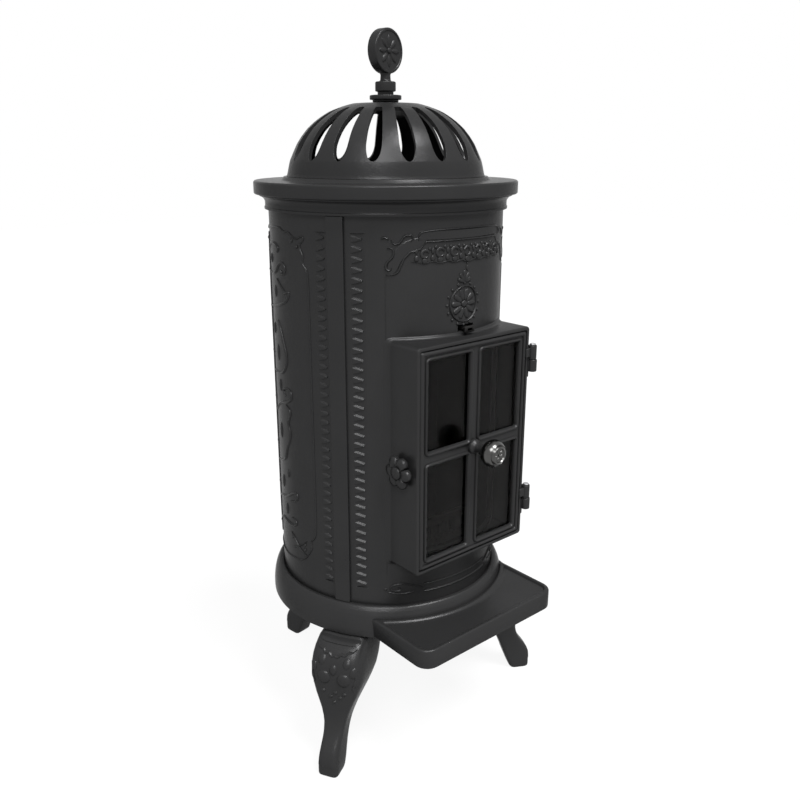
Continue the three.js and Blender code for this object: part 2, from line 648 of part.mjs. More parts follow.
// The dome's skin: rows from the foot to the crown, with a gap in each sector where a slot is open.
function dome() {
  const foot = seatTop + GAP;
  const outer = DOME_ROWS.map(([share, radius]) => [radius * DOME_FOOT_RADIUS, foot + share * DOME_HEIGHT]);
  const crown = FINIAL_BOLT.radius + GAP;
  const inner = outer.map(([r, z], row) => {
    const [before, after] = [outer[Math.max(row - 1, 0)], outer[Math.min(row + 1, outer.length - 1)]];
    const [dr, dz] = [after[0] - before[0], after[1] - before[1]];
    const length = Math.hypot(dr, dz);
    return [r - (DOME_WALL * dz) / length, row === 0 ? z : z + (DOME_WALL * dr) / length];
  });
  outer.push([crown, outer[outer.length - 1][1] + CROWN_RISE]);
  inner.push([crown, inner[inner.length - 1][1]]);
  const pitch = 360 / DOME_SLOTS;
  const columns = 4 * DOME_SLOTS;
  const columnAngle = (row, column) => {
    const sector = Math.floor(column / 4);
    const share = row < DOME_ROWS.length ? DOME_ROWS[row][2] : 0;
    const edge = (share || CLOSED_SHARE) / 2;
    const within = [0, 0.5 - edge, 0.5, 0.5 + edge][column % 4];
    return radians(DOME_PHASE - 90 + (sector + within) * pitch);
  };
  const rows = outer.length;
  const position = [];
  for (const skin of [outer, inner]) {
    skin.forEach(([r, z], row) => {
      for (let column = 0; column < columns; column += 1) {
        const angle = columnAngle(row, column);
        position.push(r * Math.cos(angle), r * Math.sin(angle), z);
      }
    });
  }
  const at = (skin, row, column) => (skin * rows + row) * columns + (column % columns);
  const index = [];
  const quad = (a, b, c, d) => index.push(a, b, c, a, c, d);
  const open = (row, column) => row >= DOME_OPEN.from && row < DOME_OPEN.to && [1, 2].includes(column % 4);
  for (let row = 0; row + 1 < rows; row += 1) {
    for (let column = 0; column < columns; column += 1) {
      if (open(row, column)) continue;
      quad(at(0, row, column), at(0, row, column + 1), at(0, row + 1, column + 1), at(0, row + 1, column));
      quad(at(1, row, column), at(1, row + 1, column), at(1, row + 1, column + 1), at(1, row, column + 1));
      if (open(row, column + 1)) {
        const next = column + 1;
        quad(at(0, row, next), at(1, row, next), at(1, row + 1, next), at(0, row + 1, next));
      }
      if (open(row, (column + columns - 1) % columns)) {
        quad(at(0, row, column), at(0, row + 1, column), at(1, row + 1, column), at(1, row, column));
      }
    }
  }
  const rim = (row, column, flip) => {
    const [a, b] = [at(0, row, column), at(0, row, column + 1)];
    const [c, d] = [at(1, row, column + 1), at(1, row, column)];
    if (flip) quad(a, d, c, b);
    else quad(a, b, c, d);
  };
  for (let column = 0; column < columns; column += 1) {
    rim(0, column, true);
    rim(rows - 1, column, false);
    if ([1, 2].includes(column % 4)) {
      rim(DOME_OPEN.from, column, false);
      rim(DOME_OPEN.to, column, true);
    }
  }
  const skin = new THREE.BufferGeometry();
  skin.setAttribute('position', new THREE.Float32BufferAttribute(position, 3));
  skin.setIndex(index);
  return skin;
}

// ---------------------------------------------------------------- finial

const crownTop = seatTop + GAP + DOME_HEIGHT + CROWN_RISE;
const bossTop = crownTop + GAP + BOSS_HEIGHT;
const collarTop = bossTop + COLLAR_HEIGHT;
const neckTop = collarTop + NECK_HEIGHT;

function finialBoss() {
  const hole = FINIAL_BOLT.radius + GAP;
  const foot = crownTop + GAP;
  return revolve([
    [hole, foot], [BOSS_RADIUS - BOSS_SOFT, foot], [BOSS_RADIUS, foot + BOSS_SOFT],
    [BOSS_RADIUS, bossTop - BOSS_SOFT], [BOSS_RADIUS - BOSS_SOFT, bossTop], [hole, bossTop],
  ], 24);
}

// The groove under the collar: its depth, and the heights where it starts, ends and has run out.
const COLLAR_GROOVE = { depth: 2.6, from: 1.5, to: 4.8, out: 5.8 };
const NECK_FILLET = { width: 1, rise: 2 };

// The stem is one piece with the stud that goes down through the boss and the crown, and its nut.
function finialStem() {
  const foot = bossTop + GAP;
  const { radius, head, headHeight, play } = FINIAL_BOLT;
  const nutTop = crownTop - play - DOME_WALL;
  const groove = COLLAR_RADIUS - COLLAR_GROOVE.depth;
  const body = revolve([
    [0, foot], [COLLAR_RADIUS, foot], [groove, foot + COLLAR_GROOVE.from], [groove, foot + COLLAR_GROOVE.to],
    [COLLAR_RADIUS, foot + COLLAR_GROOVE.out], [COLLAR_RADIUS, collarTop],
    [NECK_RADIUS + NECK_FILLET.width, collarTop], [NECK_RADIUS, collarTop + NECK_FILLET.rise],
    [NECK_RADIUS, neckTop - GAP], [0, neckTop - GAP],
  ], 24);
  return join(body, rod(radius, [0, 0, nutTop - headHeight - play], [0, 0, foot + 1], 12),
    rod(head, [0, 0, nutTop - headHeight], [0, 0, nutTop], 6));
}

function medallion() {
  const [half, soft] = [MEDALLION_THICKNESS / 2, MEDALLION_SOFT];
  const disc = revolve([
    [0, -half], [MEDALLION_RADIUS - soft, -half], [MEDALLION_RADIUS, -half + soft],
    [MEDALLION_RADIUS, half - soft], [MEDALLION_RADIUS - soft, half], [0, half],
  ], 32);
  const flat = block([-MEDALLION_RADIUS, -half - 1, -MEDALLION_RADIUS - 1],
    [MEDALLION_RADIUS, half + 1, -MEDALLION_RADIUS + MEDALLION_FLAT]);
  return cut(disc.rotateX(Math.PI / 2), flat);
}

// ---------------------------------------------------------------- firebox

const floorTop = shelfTop + GAP + FLOOR_THICKNESS;
const liningInner = panelInner - LINING_SETBACK - LINING_THICKNESS;
const liningTop = baseTop + LINING_TOP;
const grateHalf = (liningInner - GRATE_BORDER) / Math.SQRT2;

function fireboxFloor() {
  const disc = revolve([
    [0, shelfTop + GAP], [panelInner - GAP, shelfTop + GAP], [panelInner - GAP, floorTop], [0, floorTop],
  ]);
  const square = (half, z0, z1) => block([-half, -half, z0], [half, half, z1]);
  return cut(disc, square(grateHalf - GRATE_LEDGE, shelfTop - 1, floorTop + 1),
    square(grateHalf + RUNNING, floorTop - GRATE_SINK, floorTop + 1), ...rodHoles(shelfTop, floorTop));
}

const grateBottom = floorTop - GRATE_SINK + GAP;

function fireGrate() {
  const pitch = (2 * (grateHalf - GRATE_EDGE)) / GRATE_SLOTS;
  const top = grateBottom + GRATE_THICKNESS;
  const plate = block([-grateHalf, -grateHalf, grateBottom], [grateHalf, grateHalf, top]);
  const reach = grateHalf - GRATE_EDGE;
  const cuts = Array.from({ length: GRATE_SLOTS }, (_, i) => {
    const x = (i + 0.5) * pitch - reach;
    return block([x - pitch / 4, -reach, grateBottom - 1], [x + pitch / 4, reach, top + 1]);
  });
  return cut(plate, ...cuts);
}

function ashPan() {
  const half = grateHalf - GRATE_LEDGE - PAN.play;
  const bottom = LEG_HEIGHT + BASE_FLOOR + GAP;
  const top = bottom + PAN.height;
  const inner = half - PAN.wall;
  return cut(block([-half, -half, bottom], [half, half, top]),
    block([-inner, -inner, bottom + PAN.wall], [inner, inner, top + 1]));
}

function liningSlab(angle) {
  const outer = liningInner + LINING_THICKNESS;
  const slope = Math.tan(radians(LINING_PITCH / 2));
  const half = (radius) => radius * slope - RUNNING / 2;
  const shape = new THREE.Shape();
  shape.moveTo(-half(outer), -outer);
  shape.lineTo(half(outer), -outer);
  shape.lineTo(half(liningInner), -liningInner);
  shape.lineTo(-half(liningInner), -liningInner);
  return around(raise(shape, floorTop + GAP, liningTop), angle);
}

function bafflePlate() {
  const [bottom, radius] = [liningTop + GAP, liningInner + BAFFLE.lap];
  const top = bottom + BAFFLE.thickness;
  const disc = revolve([[0, bottom], [radius, bottom], [radius, top], [0, top]], 36);
  return cut(disc, block([-BODY_RADIUS, -BODY_RADIUS, bottom - 1], [BODY_RADIUS, -BAFFLE.front, top + 1]));
}

// A rail on two feet, with windows cut through it.
function logGuard() {
  const half = housingHalf - HOUSING_WALL - LOG_GUARD.inset;
  const front = -(liningInner + 2);
  const back = front + LOG_GUARD.thickness;
  const bottom = floorTop + GAP;
  const railBottom = floorTop + LOG_GUARD.rise;
  const railTop = railBottom + LOG_GUARD.height;
  const rail = block([-half, front, railBottom], [half, back, railTop]);
  const feet = [-1, 1].map((side) => block([side * (half - LOG_GUARD.foot), front, bottom],
    [side * half, back, railBottom + 1]));
  const pitch = half / (LOG_GUARD.windows / 2 + 0.5);
  const windows = Array.from({ length: LOG_GUARD.windows }, (_, i) => {
    const x = (i - (LOG_GUARD.windows - 1) / 2) * pitch;
    return block([x - pitch / 4, front - 1, railBottom + LOG_GUARD.border],
      [x + pitch / 4, back + 1, railTop - LOG_GUARD.border]);
  });
  return cut(join(rail, ...feet), ...windows);
}

// ---------------------------------------------------------------- air slide

const slideFace = onFront(panelInner, SLIDE_SLOT_WIDTH + SLIDE_TRAVEL) + RUNNING;
const slideZ = (slotBottom + slotTop) / 2;
const slideHalf = SLIDE_SLOT_HEIGHT / 2 + SLIDE_LAP;

function airSlide() {
  const { half, thickness, reach, grip, gripDepth } = SLIDE_TAB;
  const tip = -BODY_RADIUS - reach;
  return join(
    block([-SLIDE_SLOT_WIDTH, slideFace, slideZ - slideHalf],
      [SLIDE_SLOT_WIDTH, slideFace + SLIDE_THICKNESS, slideZ + slideHalf]),
    block([-half, tip, slideZ - thickness / 2], [half, slideFace + 1, slideZ + thickness / 2]),
    block([-half, tip, slideZ - grip / 2], [half, tip + gripDepth, slideZ + grip / 2]),
  );
}

// A folded guide behind the slide: a back plate with a rail above and below.
function slideGuide() {
  const reach = slideHalf + RUNNING;
  const backY = slideFace + SLIDE_THICKNESS + RUNNING;
  const back = block([-SLIDE_SLOT_WIDTH, backY, slideZ - reach - SLIDE_RAIL],
    [SLIDE_SLOT_WIDTH, backY + SLIDE_BACK, slideZ + reach + SLIDE_RAIL]);
  const rails = [-1, 1].map((side) => block([-SLIDE_SLOT_WIDTH, slideFace, slideZ + side * reach],
    [SLIDE_SLOT_WIDTH, backY + 1, slideZ + side * (reach + SLIDE_RAIL)]));
  return join(back, ...rails);
}

// ---------------------------------------------------------------- door

const crossZ = (doorBottom + doorTop) / 2 + MUNTIN_RISE;
const glassHalf = doorHalf - DOOR_STILE + GLASS_LAP;

const paneRows = [
  [doorBottom + DOOR_STILE, crossZ - MUNTIN / 2],
  [crossZ + MUNTIN / 2, doorTop - DOOR_STILE],
];
const paneColumns = [[-doorHalf + DOOR_STILE, -MUNTIN / 2], [MUNTIN / 2, doorHalf - DOOR_STILE]];

// A rectangle inset from the door's outline, seen from the front.
function doorOutline(inset, radius, Kind = THREE.Shape) {
  const half = doorHalf - inset;
  return roundedRectangle(-half, half, doorBottom + inset, doorTop - inset, radius, Kind);
}

function doorFrame() {
  const outline = doorOutline(0, 3);
  for (const [z0, z1] of paneRows) {
    for (const [x0, x1] of paneColumns) outline.holes.push(roundedRectangle(x0, x1, z0, z1, 2, THREE.Path));
  }
  const leaf = push(outline, doorFront, doorBack, 2, DOOR_CHAMFER);
  const glassSeat = push(doorOutline(DOOR_STILE - GLASS_LAP - GAP, 2), doorBack - GLASS_THICKNESS - 2 * GAP,
    doorBack + 1);
  const groove = doorOutline(-1, 2);
  groove.holes.push(doorOutline(ROPE_INSET + ROPE + GAP, 2, THREE.Path));
  const ropeSeat = push(groove, doorBack - ROPE / 2, doorBack + 1);
  return cut(leaf, glassSeat, ropeSeat, ...Object.values(CLIP_SIDES).map(clipScrewHole), knobHole());
}

function doorSeal() {
  const ring = doorOutline(ROPE_INSET, 2);
  ring.holes.push(doorOutline(ROPE_INSET + ROPE, 2, THREE.Path));
  return push(ring, doorBack - ROPE / 2 + GAP, seatFront - GAP);
}

function doorGlass() {
  const sheet = doorOutline(DOOR_STILE - GLASS_LAP, 2);
  return push(sheet, doorBack - GLASS_THICKNESS - GAP, doorBack - GAP);
}

const CLIP = { height: 14, lap: 8, thickness: 1.4 };
const CLIP_SCREW = { radius: 1.4, head: 2.1, headHeight: 1.5, room: 0.8, depth: 4.5 };
const clipX = glassHalf + GAP + CLIP_SCREW.radius + CLIP_SCREW.room;
const CLIP_SIDES = { left: -1, right: 1 };

function clipScrewHole(side) {
  const bottom = doorBack - CLIP_SCREW.depth - 0.5 * BOLT_PLAY;
  return rod(CLIP_SCREW.radius + GAP, [side * clipX, bottom, crossZ], [side * clipX, doorBack + 4, crossZ], 8);
}

function glassClip(side) {
  const [near, far] = [side * (glassHalf - CLIP.lap), side * (clipX + CLIP_SCREW.radius + 1)];
  const face = doorBack + GAP;
  const half = CLIP.height / 2;
  const plate = block([near, face, crossZ - half], [far, face + CLIP.thickness, crossZ + half]);
  return cut(plate, clipScrewHole(side));
}

function clipScrew(side) {
  const { radius, head, headHeight, depth } = CLIP_SCREW;
  const x = side * clipX;
  const seat = doorBack + GAP + CLIP.thickness + GAP;
  return join(
    rod(radius, [x, doorBack - depth, crossZ], [x, seat + 0.5, crossZ], 8),
    rod(head, [x, seat, crossZ], [x, seat + headHeight, crossZ], 8),
  );
}

// ---------------------------------------------------------------- hinges

const hingeX = housingHalf + RUNNING + HINGE_KNUCKLE;
const hingeY = doorFront;
const hingeHeights = { upper: housingTop - HINGE_FROM_TOP, lower: housingBottom + HINGE_FROM_BOTTOM };

// The ear on the housing: a knuckle, a web and a pad on the housing's side.
function hingeEar(z) {
  const { extra, web, webPast } = HINGE_EAR;
  const { drop, thickness, start, depth } = HINGE_PAD;
  const [bottom, top] = [z - HINGE_EAR_HEIGHT, z - GAP / 2];
  const side = housingHalf + GAP;
  const knuckleX = hingeX + extra;
  return cut(
    join(
      rod(HINGE_KNUCKLE + extra, [knuckleX, hingeY, bottom], [knuckleX, hingeY, top], 20),
      block([side, hingeY, bottom], [hingeX + webPast, hingeY + web, top]),
      block([side, hingeY + start, bottom - drop], [side + thickness, hingeY + depth, top]),
    ),
    block([0, hingeY - depth, bottom - 2 * drop], [side, hingeY + 2 * depth, top + 1]),
    pinHole(z),
  );
}

function pinHole(z) {
  return rod(HINGE_PIN_RADIUS + 0.1, [hingeX, hingeY, z - HINGE_EAR_HEIGHT - 1],
    [hingeX, hingeY, z + HINGE_LUG_HEIGHT + 1], 20);
}

// The lug on the door: a knuckle and a flat arm that lies on the door's face.
function doorLug(z) {
  const { reach, thickness, step } = HINGE_ARM;
  const [bottom, top] = [z + GAP / 2, z + HINGE_LUG_HEIGHT];
  const face = doorFront - GAP;
  const knuckle = rod(HINGE_KNUCKLE, [hingeX, hingeY, bottom], [hingeX, hingeY, top], 20);
  const arm = block([doorHalf - reach, face - thickness, bottom + step], [hingeX, face, top - step]);
  return cut(join(knuckle, arm), pinHole(z));
}

function hingePin(z) {
  const headBottom = z + HINGE_LUG_HEIGHT + GAP;
  const foot = [hingeX, hingeY, z - HINGE_EAR_HEIGHT];
  const shank = rod(HINGE_PIN_RADIUS, foot, [hingeX, hingeY, headBottom + 1], 20);
  const head = rod(HINGE_PIN_RADIUS + HINGE_HEAD.extra, [hingeX, hingeY, headBottom],
    [hingeX, hingeY, headBottom + HINGE_HEAD.height], 20);
  return join(shank, head);
}

// ---------------------------------------------------------------- knob

const KNOB_STUD = { radius: 2.5, depth: 12 };
const KNOB_SEAT = 3.5; // of the ball, behind its roundest part and before the stem
const knobStand = REACH + doorFront - KNOB_FLATNESS * KNOB_RADIUS; // door's face to the knob's middle
const knobBack = knobStand - KNOB_RADIUS + KNOB_SEAT;

function knobHole() {
  return rod(KNOB_STUD.radius + GAP, [0, doorFront - 1, crossZ], [0, doorBack + 1, crossZ], 12);
}

// A turned foot and stem, with the stud that goes back into the frame and forward into the knob.
function knobStem() {
  const foot = KNOB_STEM + KNOB_FOOT.extra;
  const stem = revolve([
    [0, GAP], [foot, GAP], [foot, KNOB_FOOT.edge], [KNOB_STEM, KNOB_FOOT.top], [KNOB_STEM, knobBack],
    [0, knobBack],
  ], 24).rotateX(Math.PI / 2).translate(0, doorFront, crossZ);
  const back = doorBack - GLASS_THICKNESS - 3 * GAP;
  const tip = doorFront - knobBack - KNOB_STUD.depth + BOLT_PLAY;
  return join(stem, rod(KNOB_STUD.radius, [0, back, crossZ], [0, tip, crossZ], 12));
}

function doorKnob() {
  const back = knobBack + GAP;
  const steps = 8;
  const face = Array.from({ length: steps + 1 }, (_, i) => {
    const turn = radians(KNOB_START + ((90 - KNOB_START) * i) / steps);
    const reach = knobStand + KNOB_FLATNESS * KNOB_RADIUS * Math.sin(turn);
    return [i === steps ? 0 : KNOB_RADIUS * Math.cos(turn), reach];
  }).filter(([, reach]) => reach > back + 0.5);
  const ball = revolve([[0, back], [face[0][0] - 2, back], ...face], 20);
  const knob = ball.rotateX(Math.PI / 2).translate(0, doorFront, crossZ);
  return cut(knob, rod(KNOB_STUD.radius + GAP, [0, doorFront - back + 1, crossZ],
    [0, doorFront - back - KNOB_STUD.depth, crossZ], 12));
}

// ---------------------------------------------------------------- latch

const latchOuter = -(housingHalf + GAP);
const camOuter = -(doorHalf - DOOR_STILE);
const camInner = camOuter + LATCH_CAM_THICKNESS;
const pegY = latchY + LATCH_FINGER + RUNNING + LATCH_PEG;
const pegZ = latchZ + LATCH_SHAFT + LATCH_HUB + LATCH_PLAY + LATCH_PEG;

// The lobed head: its back and front from the housing, the depth of its lobes, its hub and its cap.
const LATCH_FACE = { back: 5, front: 14, lobe: 3.5, hubRadius: 10, capRadius: 8, capHeight: 3 };

function latchKnob() {
  const outline = new THREE.Shape(Array.from({ length: 48 }, (_, i) => {
    const turn = (i / 48) * 2 * Math.PI;
    const radius = LATCH_RADIUS - LATCH_FACE.lobe * (1 - Math.cos(LATCH_LOBES * turn));
    return new THREE.Vector2(radius * Math.cos(turn), radius * Math.sin(turn));
  }));
  const { back, front, hubRadius, capRadius, capHeight } = LATCH_FACE;
  const petals = raise(outline, back, front).rotateY(-Math.PI / 2);
  const hub = rod(hubRadius, [0, 0, 0], [-back - 1, 0, 0], 20);
  const cap = rod(capRadius, [1 - front, 0, 0], [-front - capHeight, 0, 0], 20);
  const knob = join(petals, hub, cap).translate(latchOuter, latchY, latchZ);
  const socketEnd = latchOuter - LATCH_SOCKET;
  return cut(knob, rod(LATCH_SHAFT + GAP, [latchOuter + 1, latchY, latchZ], [socketEnd, latchY, latchZ]));
}

// The shaft and its cam. At rest the finger points forward, under the peg; turned up it holds the peg.
function latchShaft() {
  const tip = latchY - LATCH_CAM_REACH;
  const end = latchOuter - LATCH_SOCKET + BOLT_PLAY;
  const shaft = rod(LATCH_SHAFT, [end, latchY, latchZ], [camInner, latchY, latchZ]);
  const finger = block([camOuter, latchY, latchZ - LATCH_FINGER], [camInner, tip, latchZ + LATCH_FINGER]);
  const hub = rod(LATCH_SHAFT + LATCH_HUB, [camOuter, latchY, latchZ], [camInner, latchY, latchZ], 20);
  return join(shaft, finger, hub);
}

// The arm on the door's back, with the peg that the cam's finger holds.
function doorCatch() {
  const side = camInner + LATCH_PLAY;
  const { half, thickness, past } = CATCH;
  const back = pegY + LATCH_PEG + past;
  const arm = block([side, doorBack + GAP, pegZ - half], [side + thickness, back, pegZ + half]);
  const peg = rod(LATCH_PEG, [camOuter + 0.5, pegY, pegZ], [side + 2, pegY, pegZ], 12);
  return join(arm, peg);
}

// ---------------------------------------------------------------- flue collar

const flueZ = baseTop + FLUE_HEIGHT;
const FLUE_BOLT = { radius: 3, head: 5.5, headHeight: 4 };
const flueBoltCircle = FLUE_RADIUS + FLUE_FLANGE / 2;
const FLUE_BOLT_ANGLES = { left: 180, right: 0 };
const flangeFace = BODY_RADIUS + 8;

const flueBoltX = (angle) => flueBoltCircle * Math.cos(radians(angle));

function flueBoltHoles() {
  return Object.values(FLUE_BOLT_ANGLES).map((angle) => rod(FLUE_BOLT.radius + GAP,
    [flueBoltX(angle), 0.6 * BODY_RADIUS, flueZ], [flueBoltX(angle), flangeFace + 1, flueZ], 12));
}

function flueCollar() {
  const start = 0.8 * BODY_RADIUS;
  const flange = rod(FLUE_RADIUS + FLUE_FLANGE, [0, start, flueZ], [0, flangeFace, flueZ], 32);
  const tube = rod(FLUE_RADIUS, [0, start, flueZ], [0, BODY_RADIUS + FLUE_REACH, flueZ], 32);
  const body = revolve([
    [0, flueZ - 200], [BODY_RADIUS + GAP, flueZ - 200], [BODY_RADIUS + GAP, flueZ + 200], [0, flueZ + 200],
  ]);
  return cut(join(flange, tube), body, flueBore(FLUE_RADIUS - FLUE_WALL), ...flueBoltHoles());
}

function flueBolt(angle) {
  const x = flueBoltX(angle);
  const seat = flangeFace + GAP;
  return join(
    rod(FLUE_BOLT.radius, [x, Math.sqrt(panelInner ** 2 - x * x) - 3, flueZ], [x, seat + 1, flueZ], 12),
    rod(FLUE_BOLT.head, [x, seat, flueZ], [x, seat + FLUE_BOLT.headHeight, flueZ], 6),
  );
}

// ---------------------------------------------------------------- assembly

place(stove, 'base_ring', baseRing(), IRON);
for (const [name, angle] of Object.entries(LEG_ANGLES)) {
  place(stove, name, around(leg(REACH + LEG_EXTRA[name]), angle), IRON);
  place(stove, name.replace('leg', 'leg_bolt'), around(legBolt(), angle), SOOT_STEEL);
}
place(stove, 'hearth_plate', hearthPlate(), IRON);
for (const [name, x] of Object.entries(HEARTH_BOLTS)) place(stove, name, hearthBolt(x), SOOT_STEEL);

place(stove, 'front_panel', frontPanel(), IRON);
place(stove, 'side_panel_left', sidePanel(-1), IRON);
place(stove, 'side_panel_right', sidePanel(1), IRON);
for (const [name, [angle, top]] of Object.entries(COVER_STRIPS)) {
  place(stove, `cover_strip_${name}`, coverStrip(angle, top), IRON);
}
place(stove, 'cornice', cornice(), IRON);
place(stove, 'top_slab', topSlab(), IRON);
rodAngles.forEach((angle, i) => place(stove, `tie_rod_${i + 1}`, around(tieRod(), angle), SOOT_STEEL));

place(stove, 'firebox_floor', fireboxFloor(), DARK_IRON);
place(stove, 'ash_pan', ashPan(), SOOT_STEEL);
liningAngles.forEach((angle, i) => place(stove, `lining_slab_${i + 1}`, liningSlab(angle), BRICK));
place(stove, 'baffle_plate', bafflePlate(), DARK_IRON);
place(stove, 'log_guard', logGuard(), DARK_IRON);

place(stove, 'door_housing', doorHousing(), IRON);
for (const [name, z] of Object.entries(hingeHeights)) {
  place(stove, `hinge_ear_${name}`, hingeEar(z), IRON);
  place(stove, `hinge_pin_${name}`, hingePin(z), SOOT_STEEL);
}
place(stove, 'slide_guide', slideGuide(), SOOT_STEEL);
place(stove, 'flue_collar', flueCollar(), IRON);
for (const [name, angle] of Object.entries(FLUE_BOLT_ANGLES)) {
  place(stove, `flue_bolt_${name}`, flueBolt(angle), SOOT_STEEL);
}

const grate = new THREE.Group();
place(grate, 'fire_grate', fireGrate(), DARK_IRON);

const slide = new THREE.Group();
place(slide, 'air_slide', airSlide(), DARK_IRON);

const door = new THREE.Group();
place(door, 'door_frame', doorFrame(), IRON);
place(door, 'door_glass', doorGlass(), GLASS);
place(door, 'door_seal', doorSeal(), ROPE_GREY);
for (const [name, side] of Object.entries(CLIP_SIDES)) {
  place(door, `glass_clip_${name}`, glassClip(side), SOOT_STEEL);
  place(door, `clip_screw_${name}`, clipScrew(side), SOOT_STEEL);
}
for (const [name, z] of Object.entries(hingeHeights)) place(door, `door_lug_${name}`, doorLug(z), IRON);
place(door, 'knob_stem', knobStem(), STEEL);
place(door, 'door_knob', doorKnob(), STEEL);
place(door, 'door_catch', doorCatch(), DARK_IRON);

const latch = new THREE.Group();
place(latch, 'latch_knob', latchKnob(), IRON);
place(latch, 'latch_shaft', latchShaft(), SOOT_STEEL);

const crown = new THREE.Group();
place(crown, 'dome', dome(), IRON);
place(crown, 'finial_boss', finialBoss(), IRON);
place(crown, 'finial_stem', finialStem(), IRON);
const face = place(crown, 'finial_medallion', medallion(), IRON);
face.position.z = neckTop + MEDALLION_RADIUS - MEDALLION_FLAT;
face.rotation.z = radians(MEDALLION_YAW);

stove.add(grate, slide, door, latch, crown);

export default stove;
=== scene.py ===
# %% [markdown]
# A round cast-iron room stove, about 1.08 m tall. Every piece of the real stove is a casting that
# came out of a sand mould, was bolted to its neighbours and painted with satin black stove paint.
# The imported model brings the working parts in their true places. This lesson puts the finished
# castings over them: the same sizes, with round edges, mouldings, ornament and a paint finish.

# %% Load the working parts
import json
import math
import bpy
import bmesh
from mathutils import Matrix, Vector

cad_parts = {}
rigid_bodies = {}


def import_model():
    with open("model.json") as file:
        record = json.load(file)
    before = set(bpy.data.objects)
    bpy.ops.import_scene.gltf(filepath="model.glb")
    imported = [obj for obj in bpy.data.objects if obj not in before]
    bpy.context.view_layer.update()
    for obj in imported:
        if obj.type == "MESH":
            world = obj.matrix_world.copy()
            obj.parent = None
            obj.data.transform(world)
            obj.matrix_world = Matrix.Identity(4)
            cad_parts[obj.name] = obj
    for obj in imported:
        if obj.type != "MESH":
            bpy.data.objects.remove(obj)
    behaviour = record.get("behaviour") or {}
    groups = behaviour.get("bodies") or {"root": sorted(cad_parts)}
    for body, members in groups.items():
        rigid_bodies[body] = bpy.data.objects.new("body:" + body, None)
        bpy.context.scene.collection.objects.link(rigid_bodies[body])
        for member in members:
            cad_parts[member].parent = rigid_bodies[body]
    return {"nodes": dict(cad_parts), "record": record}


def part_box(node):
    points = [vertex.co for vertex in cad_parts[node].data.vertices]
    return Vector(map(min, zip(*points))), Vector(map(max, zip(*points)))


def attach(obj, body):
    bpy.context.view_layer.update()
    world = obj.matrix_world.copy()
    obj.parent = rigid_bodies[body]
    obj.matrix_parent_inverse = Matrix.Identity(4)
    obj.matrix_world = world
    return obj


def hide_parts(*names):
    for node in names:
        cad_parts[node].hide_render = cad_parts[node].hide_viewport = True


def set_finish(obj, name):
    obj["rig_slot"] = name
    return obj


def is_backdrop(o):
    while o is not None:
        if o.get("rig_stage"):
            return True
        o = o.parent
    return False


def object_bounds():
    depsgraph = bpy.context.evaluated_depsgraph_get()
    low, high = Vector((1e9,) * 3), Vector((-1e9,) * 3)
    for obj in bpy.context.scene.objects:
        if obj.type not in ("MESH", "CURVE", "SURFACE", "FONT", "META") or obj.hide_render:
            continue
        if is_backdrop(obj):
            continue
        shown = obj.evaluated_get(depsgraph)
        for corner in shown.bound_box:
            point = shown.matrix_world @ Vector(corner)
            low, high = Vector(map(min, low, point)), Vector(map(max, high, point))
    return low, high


for leftover in list(bpy.data.objects):
    bpy.data.objects.remove(leftover)
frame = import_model()
cad_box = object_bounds()

# %% [markdown]
# All sizes in this lesson are in millimetres, as a pattern maker writes them. The stove's axis is
# the Z axis and its door faces -Y. A place on the round shell is given by its angle in degrees from
# the front towards +X, its height, and its distance from the axis.

# %% Sizes read from the working parts, and helpers for places
MM = 0.001


def low(node):
    return [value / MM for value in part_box(node)[0]]


def high(node):
    return [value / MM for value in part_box(node)[1]]


def on_shell(angle, height, radius):
    turn = math.radians(angle)
    return (radius * math.sin(turn), -radius * math.cos(turn), height)


GAP = 0.3  # a hair of air between one casting and the next
LEG_TOP = high("leg_rear")[2] + GAP
RING_TOP = high("base_ring")[2]
CORNICE_LOW, CORNICE_TOP = low("cornice")[2], high("cornice")[2]
SLAB_LOW, SLAB_TOP = CORNICE_TOP + GAP, CORNICE_TOP + GAP + 18.8
SEAT_TOP = high("top_slab")[2]
SHELL_INSIDE, BODY = 169, 176.0  # the shell's inner and outer radius
DEGREE = math.radians(1) * BODY  # length of one degree along the shell
print("ring top", round(RING_TOP, 1), "cornice", round(CORNICE_LOW, 1), round(CORNICE_TOP, 1))

# %% [markdown]
# Most castings here are skins of points that are worked out from a few numbers, so one helper
# turns points and faces into a piece. It welds nothing and guesses nothing: it only makes the
# normals point outwards, softens the shading where faces meet at a small angle, and hangs the
# piece on the body that it moves with.

# %% Make a piece from points and faces
PIECES = []


def piece(name, points, faces, body="stove", sharp=40, stands_for=(), slot="iron"):
    mesh = bpy.data.meshes.new(name)
    mesh.from_pydata([Vector(point) * MM for point in points], [], faces)
    skin = bmesh.new()
    skin.from_mesh(mesh)
    bmesh.ops.recalc_face_normals(skin, faces=skin.faces)
    skin.to_mesh(mesh)
    skin.free()
    mesh.shade_smooth()
    mesh.set_sharp_from_angle(angle=math.radians(sharp))
    made = bpy.data.objects.new(name, mesh)
    bpy.context.scene.collection.objects.link(made)
    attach(made, body)
    if stands_for:
        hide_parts(*stands_for)
    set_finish(made, slot)
    PIECES.append(made)
    return made


def soften(made, width, segments=2, angle=35):
    bevel = made.modifiers.new("soft edges", "BEVEL")
    bevel.width = width * MM
    bevel.segments = segments
    bevel.limit_method = "ANGLE"
    bevel.angle_limit = math.radians(angle)
    bevel.harden_normals = False
    return made


# %% [markdown]
# Nearly every skin is made of rings: rows of points that lie one after the other, with as many
# points in each. `bands` joins neighbouring rings with faces and `ends` closes the first and last
# one. A part is a pair of points and faces, and `together` puts several parts into one casting.

